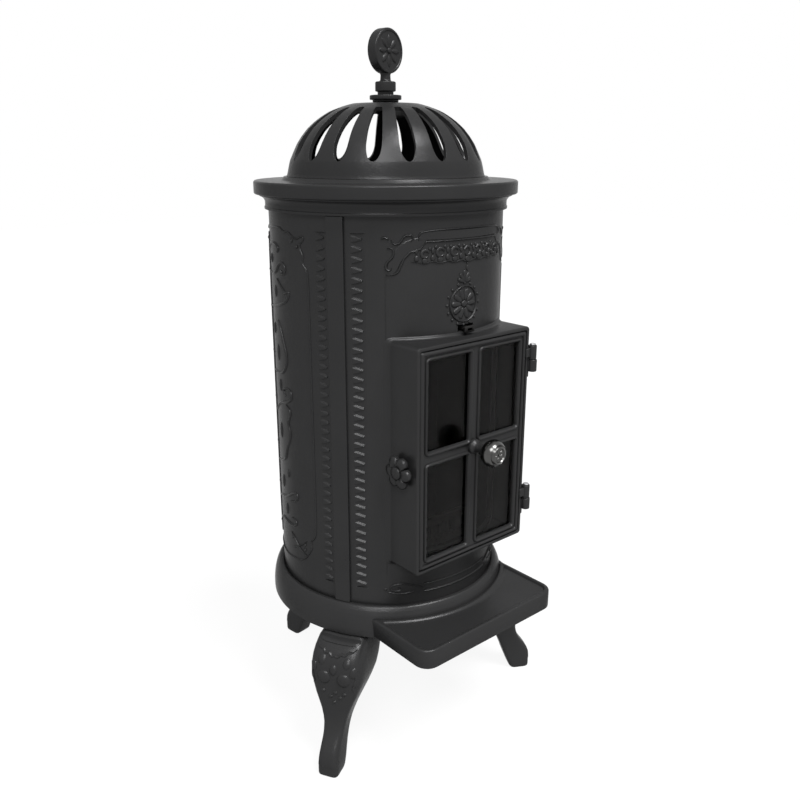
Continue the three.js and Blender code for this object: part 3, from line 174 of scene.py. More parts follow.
# %% Rings into skins
def bands(rows, sides):
    return [[i * sides + k, i * sides + (k + 1) % sides, (i + 1) * sides + (k + 1) % sides,
             (i + 1) * sides + k] for i in range(rows - 1) for k in range(sides)]


def ends(rows, sides):
    return [list(range(sides))[::-1], [(rows - 1) * sides + k for k in range(sides)]]


def capped(rings):
    """A solid with a flat face on its first and its last ring."""
    rows, sides = len(rings), len(rings[0])
    return [p for ring in rings for p in ring], bands(rows, sides) + ends(rows, sides)


def joined(rings):
    """A solid whose last ring meets the first again, as in a picture frame."""
    rows, sides = len(rings), len(rings[0])
    last = (rows - 1) * sides
    around = [[last + k, last + (k + 1) % sides, (k + 1) % sides, k] for k in range(sides)]
    return [p for ring in rings for p in ring], bands(rows, sides) + around


def together(parts):
    points, faces = [], []
    for some_points, some_faces in parts:
        start = len(points)
        points += some_points
        faces += [[v + start for v in face] for face in some_faces]
    return points, faces


def only_used(points, faces):
    """The same skin without the points that no face touches."""
    used = sorted({v for face in faces for v in face})
    place = {v: i for i, v in enumerate(used)}
    return [points[v] for v in used], [[place[v] for v in face] for face in faces]


print("a cube has", len(bands(2, 4) + ends(2, 4)), "faces")

# %% [markdown]
# Rings, slabs and knobs were turned on the pattern maker's lathe. `turned` does the same: it spins
# a profile of [radius, height] round the Z axis. `rounded` first cuts the profile's corners with
# small arcs, because no casting comes out of the sand with a knife edge.

# %% Turned pieces
def rounded(profile, radius, steps, closed=True):
    out = []
    count = len(profile)
    for i, (x, y) in enumerate(profile):
        if not closed and i in (0, count - 1) or x == 0:
            out.append((x, y))
            continue
        (px, py), (nx, ny) = profile[i - 1], profile[(i + 1) % count]
        before, after = math.hypot(px - x, py - y), math.hypot(nx - x, ny - y)
        reach = min(radius, before / 2.2, after / 2.2)
        a = (x + (px - x) * reach / before, y + (py - y) * reach / before)
        b = (x + (nx - x) * reach / after, y + (ny - y) * reach / after)
        for step in range(steps + 1):
            t = step / steps
            out.append(tuple((1 - t) ** 2 * a[k] + 2 * t * (1 - t) * (x, y)[k] + t * t * b[k]
                             for k in (0, 1)))
    return out


def spin(profile, sides):
    rings, points, faces = [], [], []
    for radius, height in profile:
        if radius < 1e-6:
            rings.append([len(points)] * sides)
            points.append((0, 0, height))
        else:
            rings.append([len(points) + k for k in range(sides)])
            points += [on_shell(360 * k / sides, height, radius) for k in range(sides)]
    closed = profile[0][0] > 1e-6 or profile[-1][0] > 1e-6
    pairs = list(zip(rings, rings[1:])) + ([(rings[-1], rings[0])] if closed else [])
    for lower, upper in pairs:
        for k in range(sides):
            n = (k + 1) % sides
            face = [lower[k], lower[n], upper[n], upper[k]]
            face = [v for i, v in enumerate(face) if v != face[i - 1]]
            if len(face) > 2:
                faces.append(face)
    return points, faces


def turned(name, profile, sides=144, **facts):
    return piece(name, *spin(profile, sides), **facts)


def raised(profile, base):
    return [(radius, base + height) for radius, height in profile]


# %% [markdown]
# The base is one casting: a flared ring with a flat floor, and a lip round the foot of the shell.
# A narrow dark gap shows between the lip and the shell. The cornice is its counterpart at the top,
# a cove under the slab, and the slab itself is a thick plate with a soft edge.

# %% Base ring, cornice and top slab
FLARE = [*raised([(194, 0), (194, 10.3), (193.6, 15), (192.9, 21), (191.7, 27.5), (189.9, 34), (187.3, 40),
                  (184.2, 45)], LEG_TOP), (181.7, RING_TOP), (177.3, RING_TOP)]
FLARE_INSIDE = [*raised([(177.3, -6.8), (145, -6.8), (145, -14.8), (169, -14.8)], RING_TOP),
                (182, LEG_TOP + 23), (186, LEG_TOP + 6)]
turned("base_casting", [(0, LEG_TOP), *rounded(FLARE + FLARE_INSIDE, 1.0, 2, closed=False),
                        (0, LEG_TOP + 6)], stands_for=["base_ring"])

COVE = raised([(177.2, 0), (181.6, 0), (181.6, 3.2), (180.5, 4.2), (180.5, 10.5), (181.3, 13), (183, 15.5),
               (185.4, 17.6), (189, 19)], CORNICE_LOW)
COVE_INSIDE = raised([(171, 12), (145, 12), (145, 4), (177.2, 4)], CORNICE_LOW)
turned("cornice_casting", rounded([*COVE, (189, CORNICE_TOP), (171, CORNICE_TOP), *COVE_INSIDE], 0.7, 2),
       stands_for=["cornice"])

SLAB_EDGE = [(195, SLAB_LOW), (196.2, SLAB_LOW + 1.2), (196.2, SLAB_TOP - 2), (194.2, SLAB_TOP),
             (155.5, SLAB_TOP), (151.5, SEAT_TOP)]
turned("top_slab_casting", [(0, SEAT_TOP - 10), (137, SEAT_TOP - 10), (145, SLAB_LOW),
                            *rounded(SLAB_EDGE, 1.2, 3, closed=False), (0, SEAT_TOP)],
       stands_for=["top_slab"])
print("turned castings:", [made.name for made in PIECES])

# %% [markdown]
# The shell is three curved plates. Each is built as a grid of angles and heights, bent round the
# axis, with an outer and an inner face. A rule says how deep the outer face is sunk at each point,
# which makes the long recess that holds the rope moulding, and cells can be left open for the door
# and for the air slot.

# %% A curved plate as a grid
def steps(start, end, most):
    count = max(1, math.ceil(abs(end - start) / most))
    return [start + (end - start) * i / count for i in range(count)]


def stations(breaks, most):
    out = []
    for start, end in zip(breaks, breaks[1:]):
        out += steps(start, end, most)
    return out + [breaks[-1]]


def curved_plate(angles, heights, inner, outer, sunk=lambda a, z: 0, open_cell=lambda a, z: False):
    columns, rows = len(angles), len(heights)
    points = [on_shell(a, z, outer - sunk(a, z)) for z in heights for a in angles]
    points += [on_shell(a, z, inner) for z in heights for a in angles]
    back = columns * rows
    at = lambda row, column: row * columns + column
    there = lambda row, column: (0 <= row < rows - 1 and 0 <= column < columns - 1 and not open_cell(
        (angles[column] + angles[column + 1]) / 2, (heights[row] + heights[row + 1]) / 2))
    faces = []
    for row in range(rows - 1):
        for column in range(columns - 1):
            if not there(row, column):
                continue
            a, b = at(row, column), at(row, column + 1)
            c, d = at(row + 1, column + 1), at(row + 1, column)
            faces += [[a, b, c, d], [a + back, d + back, c + back, b + back]]
            for (p, q), beside in (((a, b), (row - 1, column)), ((c, d), (row + 1, column)),
                                   ((b, c), (row, column + 1)), ((d, a), (row, column - 1))):
                if not there(*beside):
                    faces.append([p, p + back, q + back, q])
    return only_used(points, faces)


# %% [markdown]
# A long shallow recess runs down both edges of the front plate and down the front edge of each side
# plate. It could be cut out with a boolean, but a rule for the depth keeps the grid clean: the wall
# of the recess is two lines of points that lie close together.

# %% The long recess for the rope moulding
PANEL_LOW, PANEL_TOP = low("front_panel")[2], high("front_panel")[2]
ROPE_LOW, ROPE_TOP = 284.5, 812.0
ROPE_DEPTH = 2.3
FRONT_ROPE, SIDE_ROPE = (48.4, 55.4), (66.4, 72.8)  # from and to, in degrees
WALL_STEP = 0.22  # degrees that the recess's wall takes
CELL, TALL_CELL = 2.2, 60  # widest cell in degrees, tallest in millimetres


def recess(start, end):
    def sunk(angle, height):
        inside = start + WALL_STEP / 2 < abs(angle) < end - WALL_STEP / 2
        return ROPE_DEPTH if inside and ROPE_LOW + 0.4 < height < ROPE_TOP - 0.4 else 0
    return sunk


def wall_lines(start, end):
    return [value + step for value in (start, end) for step in (-WALL_STEP / 2, WALL_STEP / 2)]


def shell_heights(*breaks):
    return stations([PANEL_LOW, ROPE_LOW, ROPE_LOW + 0.8, *breaks, ROPE_TOP - 0.8, ROPE_TOP, PANEL_TOP],
                    TALL_CELL)


print("recess", round(ROPE_TOP - ROPE_LOW, 1), "mm tall, front walls at",
      [round(a, 2) for a in wall_lines(*FRONT_ROPE)])

# %% [markdown]
# The front plate spans about 124 degrees. Its grid has lines at the edges of the door opening and of the
# air slot, so both get straight edges when the cells between those lines are left out.

# %% Front plate
HOUSE_LOW, HOUSE_TOP = low("door_housing")[2], high("door_housing")[2]
HOUSE_WALL = 12
FRONT_EDGE, DOOR_EDGE, SLOT_EDGE = 61.9, 34.2, 4.9  # degrees from the middle
slot_low, slot_top = HOUSE_TOP + 5, HOUSE_TOP + 15


def front_opening(angle, height):
    door = abs(angle) < DOOR_EDGE and HOUSE_LOW + HOUSE_WALL < height < HOUSE_TOP - HOUSE_WALL
    slot = abs(angle) < SLOT_EDGE and slot_low < height < slot_top
    return door or slot


half_front = [SLOT_EDGE, DOOR_EDGE, *wall_lines(*FRONT_ROPE), FRONT_EDGE]
piece("front_shell", *curved_plate(
    stations([-a for a in reversed(half_front)] + half_front, CELL),
    shell_heights(HOUSE_LOW + HOUSE_WALL, HOUSE_TOP - HOUSE_WALL, slot_low, slot_top),
    SHELL_INSIDE, BODY, recess(*FRONT_ROPE), front_opening), stands_for=["front_panel"], sharp=30)
print("front plate from", -FRONT_EDGE, "to", FRONT_EDGE, "degrees")

# %% [markdown]
# The two side plates are the same casting mirrored. They meet at the back, where each leaves out
# half of the hole for the stove pipe, and the flange of the pipe collar covers the edge.

# %% Side plates
FLUE_Z = (low("flue_collar")[2] + high("flue_collar")[2]) / 2
SIDE_START, SIDE_END, PIPE_EDGE, PIPE_TALL = 62.1, 179.9, 163.5, 50


def pipe_hole(angle, height):
    return abs(angle) > PIPE_EDGE and abs(height - FLUE_Z) < PIPE_TALL


for side, word in ((-1, "left"), (1, "right")):
    angles = stations([SIDE_START, *wall_lines(*SIDE_ROPE), PIPE_EDGE, SIDE_END], CELL)
    piece(f"side_shell_{word}", *curved_plate(
        [side * a for a in angles], shell_heights(FLUE_Z - PIPE_TALL, FLUE_Z + PIPE_TALL),
        SHELL_INSIDE, BODY, recess(*SIDE_ROPE), pipe_hole), stands_for=[f"side_panel_{word}"], sharp=30)
print("shell plates made, recesses at", FRONT_ROPE, "and", SIDE_ROPE)

# %% [markdown]
# A flat strip covers each joint between two plates. Seen close it is a thin plate with a soft edge
# that lies on both of its neighbours.

# %% Cover strips
JOINT = 62  # degrees from the front to the joint of front and side plate
STRIP_HALF, STRIP_INSIDE, STRIP_OUTSIDE = 4, 176.3, 180.4
for word, angle in (("left", -JOINT), ("right", JOINT), ("rear", 180)):
    node = f"cover_strip_{word}"
    heights = stations([low(node)[2], high(node)[2]], 80)
    angles = stations([angle - STRIP_HALF, angle + STRIP_HALF], 1.4)
    strip = piece(node + "_plate", *curved_plate(angles, heights, STRIP_INSIDE, STRIP_OUTSIDE),
                  stands_for=[node], sharp=30)
    soften(strip, 0.7)
print("cover strips at", -JOINT, JOINT, "and 180 degrees")

# %% [markdown]
# Raised ornament on a casting is a low ridge that was carved into the pattern. `ridge` lays one on
# the shell along a line of [angle, height] points: its section is a low arch, its foot is sunk a
# little into the plate, and its width can taper to a point as a leaf or a scroll end does.

# %% Ridges, beads and leaves laid on the shell
SINK = 0.5  # how deep the foot of an ornament goes into the plate


def smooth_line(points, times=2):
    for _ in range(times):
        finer = [points[0]]
        for p, q in zip(points, points[1:]):
            finer.append(tuple(0.75 * a + 0.25 * b for a, b in zip(p, q)))
            finer.append(tuple(0.25 * a + 0.75 * b for a, b in zip(p, q)))
        points = finer + [points[-1]]
    return points


def ridge(points, width, height, taper=(0.35, 0.35), flat=False, smoothing=2):
    line = [(angle * DEGREE, z) for angle, z in smooth_line(points, smoothing)]
    section = ([(-1, -SINK), (-0.8, height), (0.8, height), (1, -SINK)] if flat else
               [(-1, -SINK), (-0.72, 0.6 * height), (0, height), (0.72, 0.6 * height), (1, -SINK)])
    last = len(line) - 1
    rings = []
    for i, (s, z) in enumerate(line):
        (s0, z0), (s1, z1) = line[max(i - 1, 0)], line[min(i + 1, last)]
        length = math.hypot(s1 - s0, z1 - z0) or 1
        nx, nz = -(z1 - z0) / length, (s1 - s0) / length
        t = i / last
        edge = min(1, taper[0] + (1 - taper[0]) * t * 4, taper[1] + (1 - taper[1]) * (1 - t) * 4)
        rings.append([])
        for across, rise in section:
            shift = across * width / 2 * edge
            lift = rise if rise < 0 else rise * (0.5 + 0.5 * edge)
            rings[-1].append(on_shell((s + nx * shift) / DEGREE, z + nz * shift, BODY + lift))
    return capped(rings)


def dome_faces(rows, sides):
    """Faces of a low dome: rings, a point on top and a flat foot."""
    top = (rows - 1) * sides
    fan = [[top + k, top + (k + 1) % sides, rows * sides] for k in range(sides)]
    return bands(rows, sides) + fan + [list(range(sides))[::-1]]


def bead(angle, height, size, rise, tall=1.0, sides=12):
    points = []
    for share, up in ((1, -SINK), (0.94, 0.35), (0.75, 0.7), (0.42, 0.93)):
        for k in range(sides):
            turn = 2 * math.pi * k / sides
            lift = up * rise if up > 0 else up
            points.append(on_shell(angle + size * share * math.cos(turn) / DEGREE,
                                   height + size * tall * share * math.sin(turn), BODY + lift))
    return points + [on_shell(angle, height, BODY + rise)], dome_faces(4, sides)


def beside(angle, height, distance, turn):
    """The place on the shell at a distance from another, in the direction of turn."""
    return (angle + distance * math.cos(turn) / DEGREE, height + distance * math.sin(turn))


def mirrored(points):
    return [(-a, z) for a, z in points]


print("one degree of the shell is", round(DEGREE, 2), "mm long")

# %% [markdown]
# The rope moulding is a row of blunt teeth in the long recess. Each tooth has its base at the wall
# that is farther from the door and points towards the door. Light from above picks out its upper
# edge and leaves the lower one dark.

# %% Rope mouldings
ROPE_TEETH = 38
pitch = (ROPE_TOP - ROPE_LOW) / ROPE_TEETH
TOOTH_RISE, TOOTH_HALF = 2.3, 5.8


def tooth(base, tip, height):
    """A wedge on the floor of the recess, with a smaller outline on top."""
    floor, top = BODY - ROPE_DEPTH - 0.4, BODY - ROPE_DEPTH + TOOTH_RISE
    along = tip - base
    low_ring = [(base, height - TOOTH_HALF), (base, height + TOOTH_HALF + 0.8), (tip, height + 1.8),
                (tip, height - 1.6)]
    high_ring = [(base + 0.03 * along, height - TOOTH_HALF + 0.6),
                 (base + 0.03 * along, height + TOOTH_HALF - 2.9),
                 (base + 0.95 * along, height - 1.1), (base + 0.95 * along, height - 1.4)]
    return capped([[on_shell(a, z, floor) for a, z in low_ring], [on_shell(a, z, top) for a, z in high_ring]])


for word, side, (inner, outer) in (("front_left", -1, FRONT_ROPE), ("front_right", 1, FRONT_ROPE),
                                   ("side_left", -1, SIDE_ROPE), ("side_right", 1, SIDE_ROPE)):
    teeth = [tooth(side * (outer - 0.3), side * (inner + 1.5), ROPE_LOW + (i + 0.5) * pitch)
             for i in range(ROPE_TEETH)]
    piece(f"rope_moulding_{word}", *together(teeth), sharp=25)
print("rope teeth:", 4 * ROPE_TEETH)

# %% [markdown]
# The front carries strapwork in both upper corners, joined by a flat band, with a festoon of small
# flowers under it. The ornament is symmetrical, so only the left half is drawn. The right half is
# its mirror image, with the strap lines cut a little lower and narrower.

# %% Front strapwork
STRAP_LEG = [(-22.5, 806), (-24.5, 800), (-27.5, 797), (-30.5, 794), (-33.0, 787), (-35.0, 779), (-36.3, 771),
             (-37.0, 764), (-38.5, 760.5)]
STRAP_LINES = [
    [(-37.3, 804), (-36.8, 800), (-35.6, 798), (-33.8, 799), (-32.5, 804), (-31.7, 808), (-30.4, 809.5),
     (-28.6, 810), (-27.6, 807), (-27.9, 803), (-28.8, 802)],
    [(-41.5, 805), (-40.7, 807), (-39.2, 806.5), (-38.3, 804)],
    [(-39.0, 793), (-37.3, 793), (-36.2, 790), (-36.2, 784), (-37.1, 779), (-38.6, 776), (-39.6, 771),
     (-39.7, 766), (-38.6, 763.5), (-37.3, 764), (-37.0, 767)],
    [(-22.1, 800), (-23.7, 794), (-25.1, 791), (-26.8, 788.5), (-29.1, 788), (-30.4, 783), (-31.6, 780),
     (-32.3, 774), (-33.2, 769), (-34.3, 761), (-35.9, 758), (-39.7, 757.5)],
]
strapwork = [ridge(line, 17, 0.6, flat=True, taper=(0.6, 0.5)) for line in (STRAP_LEG, mirrored(STRAP_LEG))]
strapwork.append(ridge([(-24.6, 808.5), (0, 808.5), (24.6, 808.5)], 14, 0.7, flat=True, taper=(1, 1),
                       smoothing=4))
piece("front_strapwork", *together(strapwork), sharp=20)
left_half = [ridge(line, 3.7, 2.3) for line in STRAP_LINES]
right_half = [ridge(mirrored(line), 3.2, 1.2) for line in STRAP_LINES]
band = [ridge([(-25.1, 802), (-25.3, 809), (-23.3, 815), (0, 816.5), (23.3, 815), (25.3, 809), (25.1, 802)],
              3.0, 1.9, smoothing=3),
        ridge([(-22.1, 800.5), (0, 801), (22.1, 800.5)], 3.0, 2.0, taper=(1, 1), smoothing=4)]
print("strap lines:", len(left_half) + len(right_half))

# %% [markdown]
# The festoon hangs between the straps: seven curled leaves with a drop under each and two small buds
# over it, pairs of beads in the gaps, and one wavy line along the foot. A pattern maker carved these
# one by one, so each is a small part of its own here too, and all are joined into one piece.

# %% Festoon between the straps
FESTOON = [(-22.3, 784, 5.6), (-14.9, 785.5, 6.0), (-7.4, 785.5, 6.2), (0, 784.5, 6.8)]


CURL_STEPS = 14


def curl(angle, height, size, start, turns):
    """A leaf that curls round almost to a ring."""
    line = []
    for k in range(CURL_STEPS + 1):
        turn = math.radians(start) + 2 * math.pi * turns * k / CURL_STEPS
        line.append(beside(angle, height, size * (1 - 0.22 * k / CURL_STEPS), turn))
    return ridge(line, 5.4, 2.6, smoothing=0, taper=(0.7, 0.4))


flowers = []
for angle, height, size in FESTOON:
    for place in sorted({angle, -angle}):
        start, turns = (20, 0.86) if place < 0 else (160, -0.86)
        flowers += [curl(place, height, size, start, turns), bead(place, height - size - 3.4, 4.6, 2.2),
                    bead(place - 2.3, height + size + 1.5, 2.4, 1.8),
                    bead(place + 2.3, height + size + 1.5, 2.4, 1.8)]
for gap in (-26.2, -18.6, -11.2, -3.9):
    for place in (gap, -gap):
        flowers += [bead(place, 778.5, 3.4, 2.2, tall=1.3), bead(place, 788, 2.6, 2.0, tall=1.5)]
swag = [ridge([(-28.6, 775), (-24.6, 773.2), (-22.3, 770.8), (-19.3, 775), (-15.1, 771), (-11.6, 774.5),
               (-7.6, 771), (-4, 774), (0, 769.5), (4, 774), (7.6, 771), (11.6, 774.5), (15.1, 771),
               (19.3, 775), (22.3, 770.8), (24.6, 773.2), (28.6, 775)], 2.2, 1.9, smoothing=2)]
drop = [bead(0, 762, 2.6, 2.0, tall=1.8), bead(0, 768, 1.8, 1.6)]
piece("front_ornament", *together(left_half + right_half + band + flowers + swag + drop), sharp=60)
print("festoon parts:", len(flowers + swag + drop))

# %% [markdown]
# Under the festoon sits a round medallion. This one is a plain open flower in a ring of beads, with
# a small fan of leaves over it, an ornament that any foundry used.

# %% Flower medallion
MIDDLE = (-1.5, 712)  # angle and height of its middle
RING_SIZE, PETALS, BEADS = 25, 10, 16
FAN_Z = 742  # foot of the fan of leaves
circle = [beside(*MIDDLE, RING_SIZE, 2 * math.pi * k / 40) for k in range(41)]
medallion = [ridge(circle, 2.6, 2.2, taper=(1, 1), smoothing=0)]
for k in range(PETALS):
    petal = [beside(*MIDDLE, r * RING_SIZE, 2 * math.pi * k / PETALS) for r in (0.22, 0.45, 0.7, 0.86)]
    medallion.append(ridge(petal, 0.34 * RING_SIZE, 2.2, taper=(0.3, 0.45), smoothing=1))
medallion.append(bead(*MIDDLE, 0.22 * RING_SIZE, 3.0))
for lean, tall in ((0, 17), (-34, 15), (34, 15), (-66, 13), (66, 13)):
    leaf = [beside(MIDDLE[0], FAN_Z, r, math.radians(90 - lean)) for r in (1.5, 0.5 * tall, 0.8 * tall, tall)]
    medallion.append(ridge(leaf, 6.4, 2.4, taper=(0.3, 0.5), smoothing=1))
for k in range(BEADS):
    medallion.append(bead(*beside(*MIDDLE, RING_SIZE + 4.5, 2 * math.pi * k / BEADS), 2.4, 1.9))
piece("flower_medallion", *together(medallion), sharp=60)
print("medallion parts:", len(medallion))

# %% [markdown]
# Low on the front a narrow moulding runs round under the door housing, with a small scroll beside
# each end. A fine raised line frames the front at both sides.

# %% Lower front mouldings
low_parts = [ridge([(-21, 289), (0, 290), (21, 289)], 2.6, 1.8, taper=(1, 1), smoothing=4),
             ridge([(-21, 276.5), (0, 276.5), (21, 276.5)], 2.6, 1.8, taper=(1, 1), smoothing=4)]
LOW_SCROLL = [(-21, 283), (-25, 287), (-29, 291), (-33, 293.5), (-36.8, 291), (-38.6, 285.5), (-36.6, 281),
              (-33.4, 281.5), (-32.6, 285.5), (-34.6, 286.6)]
LOW_LEAF = [(-26.5, 279), (-30, 276.5), (-34.5, 276), (-39.5, 279.5)]
for line in (LOW_SCROLL, LOW_LEAF):
    low_parts += [ridge(line, 3, 1.9), ridge(mirrored(line), 3, 1.9)]
low_parts += [bead(-40.5, 283.5, 2.6, 1.8), bead(40.5, 283.5, 2.6, 1.8)]
for a in (-39.75, 39.75):
    low_parts.append(ridge([(a, 754), (a, 310)], 1.5, 0.7, taper=(1, 1), smoothing=0))
piece("lower_front_moulding", *together(low_parts), sharp=60)
print("lower front parts:", len(low_parts))

# %% [markdown]
# The side plates are richer: a frame with a small scroll in each corner, and a tall branch of leaves
# up the middle. The branch too is symmetrical about the plate's middle.

# %% Side ornament
SIDE_MIDDLE = -121
SIDE_FRAME = [(-121, 806), (-108, 812), (-98, 813), (-94.2, 807.5), (-90.6, 808), (-88.2, 805), (-86.1, 801),
              (-84, 799), (-81.8, 803), (-79.2, 804), (-79.4, 798), (-82.2, 793), (-81.4, 785), (-79.4, 777),
              (-80.4, 771), (-80.2, 766), (-78.4, 761), (-77.2, 752), (-77.2, 700), (-77.2, 600),
              (-77.2, 480), (-77.2, 360), (-78.6, 348), (-81.6, 341), (-80.2, 331), (-83, 318),
              (-86, 306), (-91, 299), (-97.4, 296), (-108, 290), (-121, 294)]
BRANCH = [
    [(-121, 330), (-116, 345), (-107, 352), (-98, 350), (-92.6, 356), (-93.6, 364), (-98, 364)],
    [(-121, 372), (-114, 386), (-104, 392), (-98, 403), (-93, 412), (-90.4, 408), (-92, 398), (-98, 392)],
    [(-121, 440), (-110, 448), (-102, 458), (-100.5, 476), (-96, 495), (-95.5, 508), (-98, 520), (-95, 533),
     (-94.5, 543), (-99, 549)],
    [(-121, 520), (-113, 535), (-105, 550), (-98, 553), (-92.8, 561), (-93, 573), (-98, 576), (-102.5, 570),
     (-99.5, 562)],
    [(-121, 590), (-110, 592), (-101.5, 596), (-96.5, 610), (-95.8, 626), (-98.5, 642), (-101, 660),
     (-105, 676)],
    [(-121, 690), (-108, 696), (-98, 703), (-92.4, 712), (-91, 725), (-95, 719), (-99, 728), (-104, 738)],
    [(-121, 745), (-110, 742), (-104, 748), (-101, 759), (-97.4, 764), (-94.2, 758), (-94.4, 748),
     (-97.6, 746), (-98.6, 752)],
    [(-121, 775), (-114, 786), (-106, 790), (-100, 783), (-102, 776)],
]
LEAVES = [(-104, 372, 5, 2.0), (-108, 415, 5, 2.2), (-100, 436, 4.5, 1.6), (-108, 500, 5.5, 2.4),
          (-106, 575, 5.5, 1.8), (-107, 625, 5, 2.6), (-112, 660, 4.5, 2.0), (-107, 718, 5, 1.8),
          (-112, 765, 4.5, 1.6), (-88, 796, 3.2, 1.0), (-84, 789, 2.6, 1.0), (-86, 322, 3, 1.0)]
CORNER_CROSS = [[(-99, 338), (-95, 331), (-92, 323), (-88, 315), (-85, 313)],
                [(-97.5, 314), (-94.5, 317), (-91, 323), (-87.5, 330), (-84.5, 338)]]


def flower(angle, height, size, petals):
    parts = [bead(angle, height, 0.32 * size, 2.6)]
    for k in range(petals):
        turn = 2 * math.pi * (k + 0.5) / petals
        parts.append(bead(*beside(angle, height, 0.62 * size, turn), 0.36 * size, 1.6))
    return parts


def side_half(place):
    """The frame and branch on one side of the plate's middle, with each point put in its place."""
    parts = [ridge([place(p) for p in SIDE_FRAME], 2.6, 1.6, taper=(1, 1))]
    parts += [ridge([place(p) for p in line], 4.2, 2.2, taper=(0.5, 0.3)) for line in BRANCH]
    parts += [bead(*place((a, z)), size, 2.0, tall=tall) for a, z, size, tall in LEAVES]
    parts += [ridge([place(p) for p in line], 2.6, 1.9) for line in CORNER_CROSS]
    return parts + [bead(*place(p), 2.8, 1.9) for p in ((-91.5, 322), (-97.5, 330), (-85.8, 331))]


for word, side in (("left", 1), ("right", -1)):
    parts = side_half(lambda p: (side * p[0], p[1]))
    parts += side_half(lambda p: (side * (2 * SIDE_MIDDLE - p[0]), p[1]))
    stem = [(side * SIDE_MIDDLE, 310), (side * SIDE_MIDDLE, 795)]
    parts.append(ridge(stem, 4.6, 2.2, taper=(0.3, 0.3), smoothing=3))
    for z in (330, 400, 470, 545, 620, 690, 745, 792):
        parts += flower(side * SIDE_MIDDLE, z, 10, 8)
    piece(f"side_ornament_{word}", *together(parts), sharp=60)
print("ornament pieces:", len([made for made in PIECES if "ornament" in made.name]))

# %% [markdown]
# The dome is an openwork casting with eighteen slots that are round at the foot and run to a point
# near the crown. It is built sector by sector: rows follow the dome's outline, columns follow the
# edge of the slot, and the wall between outside and inside closes each slot.

# %% Outline and slots of the dome
FOOT = SEAT_TOP + GAP
DOME_FOOT, DOME_TALL, DOME_WALL, SLOTS, PHASE = 147.5, 101.4, 5.5, 18, 3.6
OUTLINE = [(0, 0.998), (0.03, 0.99), (0.107, 0.978), (0.16, 0.97), (0.221, 0.958), (0.26, 0.946),
           (0.332, 0.923), (0.445, 0.886), (0.555, 0.835), (0.666, 0.7715), (0.775, 0.683), (0.84, 0.613),
           (0.885, 0.56), (0.911, 0.516), (0.965, 0.4115), (0.993, 0.336), (1, 0.2)]


def dome_at(share):
    for (h0, r0), (h1, r1) in zip(OUTLINE, OUTLINE[1:]):
        if share <= h1:
            t = (share - h0) / (h1 - h0)
            return r0 + (r1 - r0) * t
    return OUTLINE[-1][1]


SLOT_LOW, SLOT_TOP = 0.224, 0.93  # shares of the dome's height
FOOT_ARC, HEAD_ARC = 0.26, 0.34  # how long the slot's round foot and its narrowing head are
WIDEST, TIP = 0.5, 0.62  # share of a sector at the slot's widest, and how much of that its tip keeps


def slot_width(share):
    if not SLOT_LOW < share < SLOT_TOP:
        return 0
    foot = min(1, (share - SLOT_LOW) / FOOT_ARC)
    head = min(1, (SLOT_TOP - share) / HEAD_ARC)
    return WIDEST * math.sqrt(1 - (1 - foot) ** 2) * (TIP + (1 - TIP) * math.sqrt(1 - (1 - head) ** 2))


DOME_ROWS = [0, 0.015, 0.03, 0.05, 0.08, 0.12, 0.17, 0.205, SLOT_LOW, 0.2265, 0.232, 0.24, 0.25, 0.265,
             0.285, 0.31, 0.35, 0.40, 0.45, 0.5, 0.55, 0.6, 0.65, 0.7, 0.75, 0.8, 0.84, 0.875, 0.9, 0.915,
             0.925, SLOT_TOP, 0.955, 0.98, 0.993, 1.0]
print("slot", round(max(slot_width(h) for h in DOME_ROWS), 2), "of a sector at its widest")

# %% [markdown]
# A boolean cut would leave ragged edges on such a thin curved wall. Here the points of each sector
# slide sideways instead: eight columns of faces always cover the rib and eight the slot, and the
# faces over the slot are left out.

# %% Openwork dome
RIB_COLUMNS = 8  # columns of faces over a rib, and as many over a slot
NARROWEST = 0.06  # share of a sector that the slot's columns keep where there is no slot
CROWN_HOLE = 4.4  # radius of the hole for the finial's bolt


def dome_outlines():
    """Outer and inner outline of the dome, each ending at the hole in the crown."""
    outer = [(dome_at(h) * DOME_FOOT, FOOT + h * DOME_TALL) for h in DOME_ROWS]
    inner = []
    for i, (r, z) in enumerate(outer):
        (r0, z0), (r1, z1) = outer[max(i - 1, 0)], outer[min(i + 1, len(outer) - 1)]
        length = math.hypot(r1 - r0, z1 - z0)
        inner.append((max(r - DOME_WALL * (z1 - z0) / length, 5),
                      z if i == 0 else z + DOME_WALL * (r1 - r0) / length))
    outer.append((CROWN_HOLE, outer[-1][1] + 0.9))
    inner.append((CROWN_HOLE, inner[-1][1]))
    return outer, inner


def dome_points(outline, columns):
    """Rows of points round one outline. In each sector the rib comes first, then the slot."""
    points = []
    for row, (r, z) in enumerate(outline):
        share = slot_width(DOME_ROWS[row]) if row < len(DOME_ROWS) else 0
        edge = max(share, NARROWEST) / 2
        for sector in range(SLOTS):
            for column in range(columns):
                if column < RIB_COLUMNS:
                    within = edge + (1 - 2 * edge) * column / RIB_COLUMNS
                else:
                    within = 1 - edge + 2 * edge * (column - RIB_COLUMNS) / RIB_COLUMNS
                points.append(on_shell(PHASE + 360 / SLOTS * (sector + within - 0.5), z, r))
    return points


